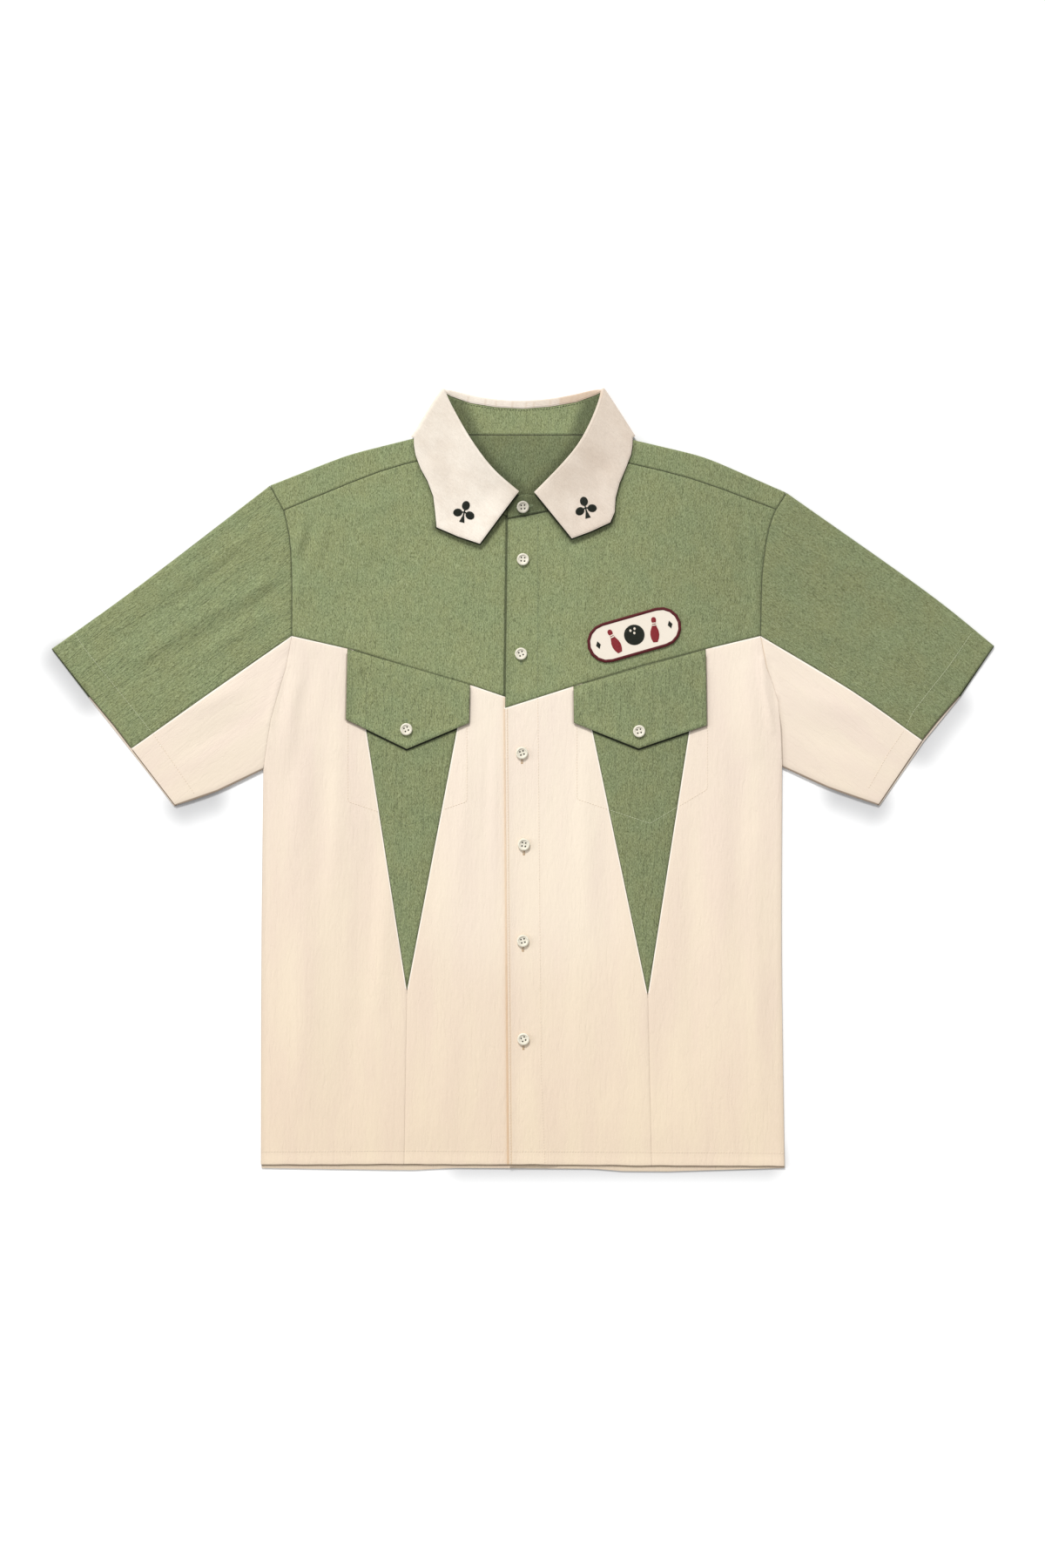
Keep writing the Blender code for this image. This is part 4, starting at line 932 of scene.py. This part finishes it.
threads = {}
for name, use, colour, *lustre in (
    ("green", "sewing", (122, 134, 98)),
    ("pale", "sewing", (176, 182, 148)),
    ("cream", "sewing", (226, 211, 190)),
    ("tan", "buttonhole", (186, 158, 122)),
    ("brown", "button", (38, 32, 26)),
    ("black-green", "embroidery", (20, 26, 12), 0.5, 0.03),
    ("burgundy", "embroidery", (88, 12, 20), 0.5, 0.05),
    ("red", "embroidery", (138, 24, 34), 0.42, 0.1),
    ("ivory", "embroidery", (232, 222, 206), 0.42),
):
    threads[name] = make_thread(f"{name} {use} thread", srgb(*colour), *lustre)
print("threads:", ", ".join(threads))

# %% [markdown]
# ## Seams and topstitching
#
# A stitch is a short length of thread that is pulled into the cloth at both ends. It is modelled
# once: a six-sided cylinder whose ends are extruded down and drawn in. Copies of it are laid along
# each line, stretched to the stitch's length and turned along the line, and all of one colour are
# joined into one mesh. A dashed line in the cloth's texture would cost nothing, but would lie flat
# and catch no light.

# %% One stitch, and how rows are sewn
STITCH_PITCH = 2.9
STITCH = (2.3, 0.5)            # its length and the thread's width
LONG_STITCH = (2.85, 0.58)
STITCH_LIFT = 0.12             # how far its middle line lies above the cloth
STEEPEST = 1.2                 # the largest step in the cloth that a stitch crosses


def pick_faces(piece, wanted):
    """In edit mode, select the faces whose centre and normal pass a test."""
    mesh = bmesh.from_edit_mesh(piece.data)
    for face in mesh.faces:
        face.select_set(bool(wanted(face.calc_center_median(), face.normal)))
    mesh.select_flush_mode()
    bmesh.update_edit_mesh(piece.data)


def take_shape(piece):
    """The vertices and faces of a model piece, which is then removed."""
    points = np.array([vertex.co[:] for vertex in piece.data.vertices])
    faces = [tuple(face.vertices) for face in piece.data.polygons]
    bpy.data.objects.remove(piece)
    return points, faces


def model_stitch():
    """A stitch one unit long and one unit wide that lies along X."""
    bpy.ops.object.select_all(action="DESELECT")
    bpy.ops.mesh.primitive_cylinder_add(vertices=6, radius=0.5, depth=0.5, rotation=(0, radians(90), 0))
    stitch = bpy.context.active_object
    bpy.ops.object.transform_apply(location=True, rotation=True, scale=True)
    bpy.ops.object.mode_set(mode="EDIT")
    bpy.ops.mesh.select_mode(type="FACE")
    for end in (-1, 1):
        pick_faces(stitch, lambda centre, normal: normal.x * end > 0.9)
        bpy.ops.mesh.extrude_region_move(TRANSFORM_OT_translate={"value": (0.25 * end, 0, -0.55)})
        bpy.ops.transform.resize(value=(1, 0.6, 0.6), center_override=(0.5 * end, 0, -0.55))
    bpy.ops.object.mode_set(mode="OBJECT")
    return take_shape(stitch)


def repeat(shape, placed):
    """The points and faces of a shape that is laid down many times, at the points given for each."""
    points, faces = shape
    return np.concatenate(placed), [tuple(corner + k * len(points) for corner in face)
                                    for k in range(len(placed)) for face in faces]


STITCH_SHAPE = model_stitch()


def sew(name, lines, thread, slot_name, stitch=STITCH):
    """Lay stitches along lines. Each line is a tuple of the pieces under it and its flat points."""
    length, width = stitch
    along, over, out = (STITCH_SHAPE[0][:, axis:axis + 1] for axis in range(3))
    placed = []
    for nodes, line in lines:
        marks = even_line(line, STITCH_PITCH)
        heights = [ground(x, y, nodes) for x, y in marks]
        for start, end, low, high in zip(marks, marks[1:], heights, heights[1:]):
            if low is None or high is None or abs(high - low) > STEEPEST:
                continue
            start, end = np.append(start, low), np.append(end, high)
            forward = (end - start) / np.linalg.norm(end - start)
            across = np.array((-forward[1], forward[0], 0))
            across /= np.linalg.norm(across)
            placed.append((start + end) / 2 + (0, 0, STITCH_LIFT) + along * length * forward
                          + over * width * across + out * width * np.cross(forward, across))
    join_mesh(name, *repeat(STITCH_SHAPE, placed), threads[thread], slot_name)
    print(name, "has", len(placed), "stitches")


# %% Rows of stitching
# the pocket bags show as stitching on the panels, below the flaps
POCKET_LINES = {
    "right": ((-180.9, 60), (-180.9, -22.5), (-147.5, -34), (-120.3, -47.6), (-84, -31.5), (-58, -22.5),
              (-58, 57)),
    "left": ((55.8, 57), (55.8, -20), (83.3, -29.3), (131.5, -45.2), (190.4, -9.9), (190.6, 55)),
}
HEM_LINES = {
    "right": ((-270, -384.6), (-123, -383.4), (-20, -384.2)),
    "left": ((-13.4, -384), (133, -385), (269.6, -386)),
}
SLEEVE_LINES = {
    "right": ((-463.2, 150.6), (-454.5, 137.2), (-383, 48.2), (-339.8, -14.6)),
    "left": ((463.5, 151), (439.8, 116.6), (418.9, 90.2), (403.4, 70.3), (395.6, 53.8), (376.9, 26.2),
             (357.1, -9.1)),
}
FLAP_STITCHES = {
    "right": ((-181.5, 134), *FLAPS["right"], (-54.5, 99.5)),
    "left": ((189, 133.5), *FLAPS["left"], (52, 97.5)),
}
NECK_LINES = (((-62, 357.6), (66, 357.8)), ((-13, 272.2), (22, 279)), ((-1, 293.6), (9, 295)))
PLACKET_LINE = ((15.3, 273), (15.3, 85.5), (18.8, -310.5), (22.5, -396.5))
FLAP_INSET, LAP_INSET, BAND_INSET = 2.2, 1.6, 1.8

green_lines, pale_lines, cream_lines = [], [], []
for side in SIDES:
    flap, panels = f"pocket_flap_{side}", (f"side_front_{side}", f"centre_front_{side}")
    green_lines.append(((flap,), inset_run(flap, FLAP_STITCHES[side], FLAP_INSET)))
    cream_lines += [(panels, POCKET_LINES[side]), (panels, HEM_LINES[side])]
    (green_lines if side == "right" else pale_lines).append(((f"wedge_{side}",), POCKET_LINES[side]))
    pale_lines.append(((f"sleeve_upper_{side}",), SLEEVE_LINES[side]))
    cream_lines.append(((f"sleeve_under_front_{side}",), SLEEVE_LINES[side]))
for lines, node, stops in ((green_lines, "front_yoke_left", ((-16.4, 262), (-18.5, 74))),
                           (cream_lines, "centre_front_left", ((-18.5, 73), (-14.5, -397)))):
    lines += [((node,), PLACKET_LINE), ((node,), inset_run(node, stops, LAP_INSET))]
band = (("collar_stand",), inset_run("collar_stand", ((-62, 392), (0, 383), (62, 392)), BAND_INSET))

sew("stitches_green", green_lines, "green", "sage_green")
sew("stitches_pale", pale_lines, "pale", "sage_green", LONG_STITCH)
sew("stitches_neck", [(("collar_stand",), line) for line in NECK_LINES], "green", "sage_green")
sew("stitches_band", [band], "black-green", "sage_green")
sew("stitches_cream", cream_lines, "cream", "cream")

# %% [markdown]
# ## Embroidery
#
# An embroidered shape is filled with threads that lie side by side. Each thread is a thin closed
# tube that rises out of the cloth and goes back in. Where a fill is wide, a thread is tacked down
# every few millimetres, and those dips are staggered from row to row. The fill is worked out as a
# machine does it: rows are ruled across the closed outline, and thread runs from where a row
# enters the outline to where it leaves.
#
# The collar points carry playing-card clubs. The chest patch shows a bowling ball between two
# pins, with diamonds at its ends, on an ivory ground inside a merrowed border, which is an edge
# wrapped in close thread.

# %% Threads that fill an outline
FILL_PITCH = 0.46              # from one row of thread to the next
FILL_STITCH = 3.4              # a thread is tacked down this often
SHORTEST = 0.25                # a shorter row is left out
TACK = (0.45, 0.14)            # half the length of a tack, and how deep it is
END_MARGIN = 0.8               # no tack is nearer than this to the end of a row
ENTRY = (0.3, 0.35)            # over what length a thread comes out of the cloth, and from how deep
GOLDEN = 0.618
BORDER_PITCH = 0.5             # from one wrap of the border to the next
# a wrap: where it runs, as a share of how far it reaches inside and outside the edge, and how high
WRAP = ((-1, 0, -0.3), (-0.8, 0, 0.45), (-0.3, 0, 0.65), (0, 0.3, 0.5), (0, 1, -0.3), (0, 1, -1.3))


class Embroidery:
    """Threads of one colour, collected for one joined mesh."""

    def __init__(self, *nodes):
        self.nodes = nodes
        self.points, self.faces = [], []

    def strand(self, line, lifts, width=0.26, level=None):
        """A thread through flat points, each lifted above the cloth, or a level, by its own height."""
        line = np.array(line, float)
        heights = [ground(x, y, self.nodes) if level is None else level for x, y in line]
        if None in heights:
            return
        tangent = np.gradient(line, axis=0)
        across = np.stack([-tangent[:, 1], tangent[:, 0]], axis=1)
        across /= np.maximum(np.linalg.norm(across, axis=1), 1e-9)[:, None]
        self.faces += tube(len(self.points), len(line))
        for spot, side, height, lift in zip(line, across, heights, lifts):
            for shift, drop in ((width, 0.2), (0, 0), (-width, 0.2), (0, 0.42)):
                self.points.append((*(spot + shift * side), height + lift - drop))

    def fill(self, outline, angle, lift, pitch=FILL_PITCH):
        """Fill a closed outline in mm with rows of thread that run at an angle."""
        turn = np.array(((cos(angle), -sin(angle)), (sin(angle), cos(angle))))
        turned = np.array(outline) @ turn
        low, high = turned[:, 1].min(), turned[:, 1].max()
        rows = max(2, round((high - low) / pitch))
        for row in range(rows):
            level = low + (row + 0.5) * (high - low) / rows
            crossings = sorted(x0 + (level - y0) * (x1 - x0) / (y1 - y0)
                               for (x0, y0), (x1, y1) in zip(turned, np.roll(turned, -1, axis=0))
                               if (y0 > level) != (y1 > level))
            for start, end in zip(crossings[::2], crossings[1::2]):
                if end - start < SHORTEST:
                    continue
                entry = min(0.25, ENTRY[0] / (end - start))
                shares, lifts = [0, entry], [lift - ENTRY[1], lift]
                tack = start + (row * GOLDEN) % 1 * FILL_STITCH
                while tack < end - END_MARGIN:
                    if tack > start + END_MARGIN:
                        share, step = (tack - start) / (end - start), TACK[0] / (end - start)
                        shares += [share - step, share, share + step]
                        lifts += [lift, lift - TACK[1], lift]
                    tack += FILL_STITCH
                shares += [1 - entry, 1]
                lifts += [lift, lift - ENTRY[1]]
                row_points = np.array([(start + share * (end - start), level) for share in shares])
                self.strand(row_points @ turn.T, lifts)

    def edge(self, outline, inside, outside):
        """Wrap thread over the edge of a piece whose closed outline runs anticlockwise."""
        closed = even_line(np.vstack([outline, outline[:1]]), BORDER_PITCH)
        tangent = np.gradient(closed, axis=0)
        out = np.stack([tangent[:, 1], -tangent[:, 0]], axis=1)
        out /= np.linalg.norm(out, axis=1)[:, None]
        for spot, way in zip(closed[:-1], out[:-1]):
            top = ground(*(spot - 0.8 * way), self.nodes)
            if top is not None:
                line = [spot + (inner * inside + outer * outside) * way for inner, outer, _ in WRAP]
                line[-1] = line[-1] + 0.02 * tangent[0]      # two points in one place have no direction
                self.strand(line, [lift for _, _, lift in WRAP], 0.3, top)

    def finish(self, name, thread, slot_name):
        join_mesh(name, self.points, self.faces, threads[thread], slot_name)


def place_shape(points, centre, turn):
    """Turn a flat shape about its origin and move it to a centre."""
    return [(centre[0] + x * cos(turn) - y * sin(turn), centre[1] + x * sin(turn) + y * cos(turn))
            for x, y in points]


def ellipse(x, y, across, along, turn=0, count=28):
    """A closed ellipse, as points in mm."""
    angles = [2 * pi * k / count for k in range(count)]
    return place_shape([(across * cos(angle), along * sin(angle)) for angle in angles], (x, y), turn)


print("rows of thread in 10 mm of fill:", round(10 / FILL_PITCH))

# %% Clubs on the collar points
LOBE_REACH = 6.8               # from the club's middle to the middle of a lobe
LOBE_SIZE = (4.1, 4.7)         # half width and half length of a lobe
LOBE_ANGLES = (90, 198, -18)
CLUB_STEM = ((-0.55, 0.5), (0.55, 0.5), (0.9, -4), (2.9, -11), (-2.9, -11), (-0.9, -4))
# from the club's middle to a lobe
CLUB_NECK = ((-0.5, 0), (0.5, 0), (0.6, LOBE_REACH - 3), (-0.6, LOBE_REACH - 3))
CLUBS = (((-60.5, 276.2), radians(-14)), ((64.6, 280.6), radians(14)))
LOW_FILL, FILL, HIGH_FILL = 0.45, 0.5, 0.55      # how far threads lie above the cloth

clubs = Embroidery("collar_leaf")
for centre, lean in CLUBS:
    for turn in map(radians, LOBE_ANGLES):
        lobe = ellipse(LOBE_REACH * cos(turn), LOBE_REACH * sin(turn), *LOBE_SIZE, turn - pi / 2)
        clubs.fill(place_shape(lobe, centre, lean), turn + lean + pi / 2, HIGH_FILL)
        neck = place_shape(CLUB_NECK, (0, 0), turn - pi / 2)
        clubs.fill(place_shape(neck, centre, lean), turn + lean, FILL)
    clubs.fill(place_shape(CLUB_STEM, centre, lean), lean, FILL)
clubs.finish("collar_clubs", "black-green", "collar_cream")

# %% The chest patch
PATCH_CENTRE = (115, 149.5)
PATCH_HALF = (49, 20)
PATCH_TURN = radians(16)
BORDER_REACH = (2.5, 0.8)      # how far the border goes inside and outside the patch's edge
BALL_RADIUS = 10.6
FINGER_HOLES = ((-2.6, 5.2), (2, 6), (0.6, 1.8))
HOLE_RADIUS = 1.25
DIAMOND = ((-2.6, 0), (0, -4.2), (2.6, 0), (0, 4.2))
DIAMOND_REACH = 38.5
# half widths of a pin up its height
PIN_PROFILE = ((2.3, -13), (3.9, -9.5), (4.7, -5.5), (4.3, -1.5), (2.9, 2.2), (1.8, 5.4), (1.9, 7.2),
               (2.6, 9.4), (2.3, 11.6), (1, 12.9))
PIN = PIN_PROFILE + tuple((-half, level) for half, level in reversed(PIN_PROFILE))
PIN_BAND = ((-1.9, -0.5), (1.9, -0.5), (1.9, 0.5), (-1.9, 0.5))
PIN_BAND_LEVELS = (4.6, 6.6)
PIN_PLACES = ((-21.5, -0.5, radians(11)), (21.5, -0.5, radians(-11)))
BAND_FILL, HOLE_FILL = (0.95, 0.4), (0.85, 0.36)      # height above the cloth, and pitch


def on_patch(points, x=0, y=0, lean=0):
    """Place a shape on the patch."""
    return place_shape(place_shape(points, (x, y), lean), PATCH_CENTRE, PATCH_TURN)


border, ball, pins, details = (Embroidery("chest_patch") for _ in range(4))
half_width, half_height = PATCH_HALF
stops = on_patch([(-half_width, 0), (0, -half_height), (half_width, 0), (0, half_height), (-half_width, 0)])
border.edge(even_line(edge_run("chest_patch", stops), 1)[:-1], *BORDER_REACH)
ball.fill(on_patch(ellipse(0, 0, BALL_RADIUS, BALL_RADIUS)), radians(58), FILL)
for end in (-1, 1):
    ball.fill(on_patch(DIAMOND, DIAMOND_REACH * end), PATCH_TURN, LOW_FILL)
for x, y, lean in PIN_PLACES:
    pins.fill(on_patch(PIN, x, y, lean), PATCH_TURN + lean, FILL)
    for level in PIN_BAND_LEVELS:
        band = [(across, level + up) for across, up in PIN_BAND]
        details.fill(on_patch(band, x, y, lean), PATCH_TURN + lean, *BAND_FILL)
for x, y in FINGER_HOLES:
    details.fill(on_patch(ellipse(x, y, HOLE_RADIUS, HOLE_RADIUS, count=12)), PATCH_TURN, *HOLE_FILL)
border.finish("patch_border", "burgundy", "patch_cream")
ball.finish("patch_ball", "black-green", "patch_cream")
pins.finish("patch_pins", "red", "patch_cream")
details.finish("patch_details", "ivory", "patch_cream")

# %% [markdown]
# ## Buttons and buttonholes
#
# Shirt buttons are turned from polyester blanks: a disc with a raised rim and four drilled holes.
# The model has them at full detail, so each copy only gets its edges rounded by a bevel, and is
# turned a little about its own axis, because nobody sews buttons on in line. It rises and sinks
# with the cloth below it. Under each button lies a buttonhole, a slit between two bars of close
# thread, and its end shows past the button.

# %% Buttons
BUTTON_TURNS = {
    "button_1": 3, "button_2": -4, "button_3": 22, "button_4": 17, "button_5": -8, "button_6": 14,
    "button_7": 26, "flap_button_right": 24, "flap_button_left": 12,
}
BEVEL = (0.22, 2, radians(20))      # width in mm, segments, and the least angle of an edge that gets one
POLYESTER = (srgb(213, 207, 189), srgb(229, 223, 207))


def make_plastic(name, light):
    plastic = Shader(name)
    place = plastic.place()
    clouds = plastic.range(plastic.noise(place, 4, 2, 3, 0.6), 0.35, 0.65, 0, 1)
    colour = plastic.mix(clouds, *(shade(colour, light) for colour in POLYESTER))
    return plastic.finish(colour, plastic.noise(place, 0.8, 0.8), 0.08, 0.4,
                          {"Roughness": 0.34, "Specular IOR Level": 0.45})


shaded_plastic, plastic = make_plastic("button polyester in shade", 0.72), make_plastic("button polyester", 1)
button_tops = {}
for node, degrees in BUTTON_TURNS.items():
    low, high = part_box(node)
    centre = (low + high) / 2
    x, y = centre.x / MM, centre.y / MM
    rise = front_swell(np.array([[x, y]]))[0]
    button = copy_node(node, f"turned_{node}")
    bpy.ops.mesh.dissolve_limited(angle_limit=FLAT)
    bpy.ops.transform.rotate(value=radians(-degrees), orient_axis="Z", center_override=centre)
    bpy.ops.transform.translate(value=(0, 0, rise * MM))
    bpy.ops.object.mode_set(mode="OBJECT")
    bevel = button.modifiers.new("rounded edges", "BEVEL")
    bevel.width, bevel.segments, bevel.angle_limit = BEVEL[0] * MM, BEVEL[1], BEVEL[2]
    bevel.limit_method = "ANGLE"
    bpy.ops.object.modifier_apply(modifier=bevel.name)
    button.data.materials.append(shaded_plastic if node == "button_1" else plastic)
    bpy.ops.object.shade_smooth_by_angle(angle=radians(35))
    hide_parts(node)
    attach(button, "root")
    button_tops[node] = (x, y, high.z / MM + rise)
print("buttons:", len(button_tops), "faces each:", len(button.data.polygons))

# %% The thread that holds the buttons
HOLES = ((-1.75, -1.75), (-1.75, 1.75), (1.75, -1.75), (1.75, 1.75))
PLUG_SIZE = (0.62, 0.62, 1.1)  # the thread that fills a hole: radius twice, and height
PLUG_DEPTH = 2.15              # from the button's top to the thread's middle

bpy.ops.object.select_all(action="DESELECT")
bpy.ops.mesh.primitive_cylinder_add(vertices=8, radius=1, depth=1)
plug = bpy.context.active_object
bpy.ops.object.mode_set(mode="EDIT")
bpy.ops.mesh.select_mode(type="FACE")
pick_faces(plug, lambda centre, normal: normal.z > 0.9)
bpy.ops.mesh.inset(thickness=0.35, depth=0.12)
bpy.ops.object.mode_set(mode="OBJECT")
plug_shape = take_shape(plug)
plugs = [plug_shape[0] * PLUG_SIZE + (*spot, top - PLUG_DEPTH) for node, (x, y, top) in button_tops.items()
         for spot in place_shape(HOLES, (x, y), radians(BUTTON_TURNS[node]))]
join_mesh("button_thread", *repeat(plug_shape, plugs), threads["brown"], "button_cream")

# %% Buttonholes
HOLE_WIDTH = 1.25              # half the width of a buttonhole
BAR_PITCH = 0.42               # from one bar of thread to the next
# a bar: how far across the slit, as a share of its half width, and how high
BAR = ((-1, -0.25), (-0.8, 0.2), (-0.45, 0.22), (0, 0), (0.45, 0.22), (0.8, 0.2), (1, -0.25))
END_BARS = (1.2, 0.24)         # the bars this near to an end close the slit, at this height


def buttonhole(work, centre, angle, start, end):
    """Close bars of thread across a slit that runs at an angle, from start to end of its centre."""
    way, side = np.array((cos(angle), sin(angle))), np.array((-sin(angle), cos(angle)))
    for reach in np.arange(start, end, BAR_PITCH):
        closed = min(reach - start, end - reach) < END_BARS[0]
        line = [np.array(centre) + way * reach + side * HOLE_WIDTH * share for share, _ in BAR]
        work.strand(line, [END_BARS[1] if closed and abs(share) < 0.9 else lift for share, lift in BAR], 0.24)


green_holes = Embroidery("front_yoke_left", "collar_stand", "pocket_flap_right", "pocket_flap_left")
cream_holes = Embroidery("centre_front_left")
for node, (x, y, _) in button_tops.items():
    if node == "button_1":
        buttonhole(green_holes, (x, y), radians(10), -7, 10.5)
    elif node.startswith("flap"):
        buttonhole(green_holes, (x, y), radians(90), -6, 10.4)
    else:
        buttonhole(green_holes if y > 90 else cream_holes, (x, y), radians(90), -11, 5.5)
green_holes.finish("buttonholes_green", "green", "sage_green")
cream_holes.finish("buttonholes_cream", "tan", "cream")

# %% [markdown]
# ## Floor, light and camera
#
# The shirt lies on a pale floor under a large soft light that stands at its upper left, with a
# bright room all round. A soft shade is painted on the floor beside the edges that stand off it: the
# cuffs, the underarms and the back hem. The camera looks straight down.

# %% Floor, light and camera
PICTURE = (1200, 1800)
MM_PER_PIXEL = 0.9
PICTURE_CENTRE = (-0.45, -4.5)         # mm
LENS = 85
SENSOR = 36
TOP_OF_CLOTH = 4
FLOOR_SIZE, FLOOR_DROP = 6, 0.0003     # m: how wide it is, and how far below the shirt
ROOM_LIGHT = 0.57
# painted shadow on the floor: lines under the raised edges, how far the painted shade reaches in mm, and how
# strong it is
PAINTED_FLOOR_SHADOWS = (
    (((-478, 124), (-448, 86)), 36, 0.46), (((-350, -26), (-326, -18)), 38, 0.49),
    (((362, -26), (330, -14)), 38, 0.49), (((446, 76), (412, 32)), 36, 0.43),
    (((-60, -394), (250, -394)), 38, 0.44),
)

bpy.ops.object.select_all(action="DESELECT")
bpy.ops.mesh.primitive_plane_add(size=FLOOR_SIZE, location=(0, 0, -FLOOR_DROP))
floor = bpy.context.active_object
floor.name = "floor"
paint = Shader("floor paint")
paint.feed(paint.surface["Roughness"], 0.9)
paint.feed(paint.surface["Base Color"], (0.93, 0.93, 0.93, 1))
floor.data.materials.append(paint.material)
# paint a soft shadow on the floor under each raised edge
for line, reach, strength in PAINTED_FLOOR_SHADOWS:
    paint_shade_and_light(paint.material, [line], ((0, reach, strength),), (0.2, 0.2, 0.21, 1))

world = bpy.data.worlds.new("room")
world.use_nodes = True
world.node_tree.nodes["Background"].inputs["Color"].default_value = (1, 1, 1, 1)
world.node_tree.nodes["Background"].inputs["Strength"].default_value = ROOM_LIGHT
bpy.context.scene.world = world


def add_sun(name, strength, angle, tilt, turn):
    """A distant light: tilt is from straight down, turn is where it comes from, from +X."""
    sun = bpy.data.objects.new(name, bpy.data.lights.new(name, "SUN"))
    sun.data.energy = strength
    sun.data.angle = radians(angle)
    tilt, turn = radians(tilt), radians(turn)
    towards = Vector((sin(tilt) * cos(turn), sin(tilt) * sin(turn), cos(tilt)))
    sun.rotation_euler = towards.to_track_quat("Z", "Y").to_euler()
    bpy.context.scene.collection.objects.link(sun)


add_sun("soft box", 2.62, 12, 50, 104)
add_sun("window", 0.8, 34, 68, 172)

camera = bpy.data.objects.new("camera", bpy.data.cameras.new("camera"))
camera.data.lens = LENS
camera.data.sensor_width = SENSOR
height = PICTURE[1] * MM_PER_PIXEL * LENS / SENSOR + TOP_OF_CLOTH
camera.location = (PICTURE_CENTRE[0] * MM, PICTURE_CENTRE[1] * MM, height * MM)
camera.data.clip_end = 20
bpy.context.scene.collection.objects.link(camera)
bpy.context.scene.camera = camera
bpy.context.scene.view_settings.view_transform = "Standard"
print("camera height in mm:", round(height))
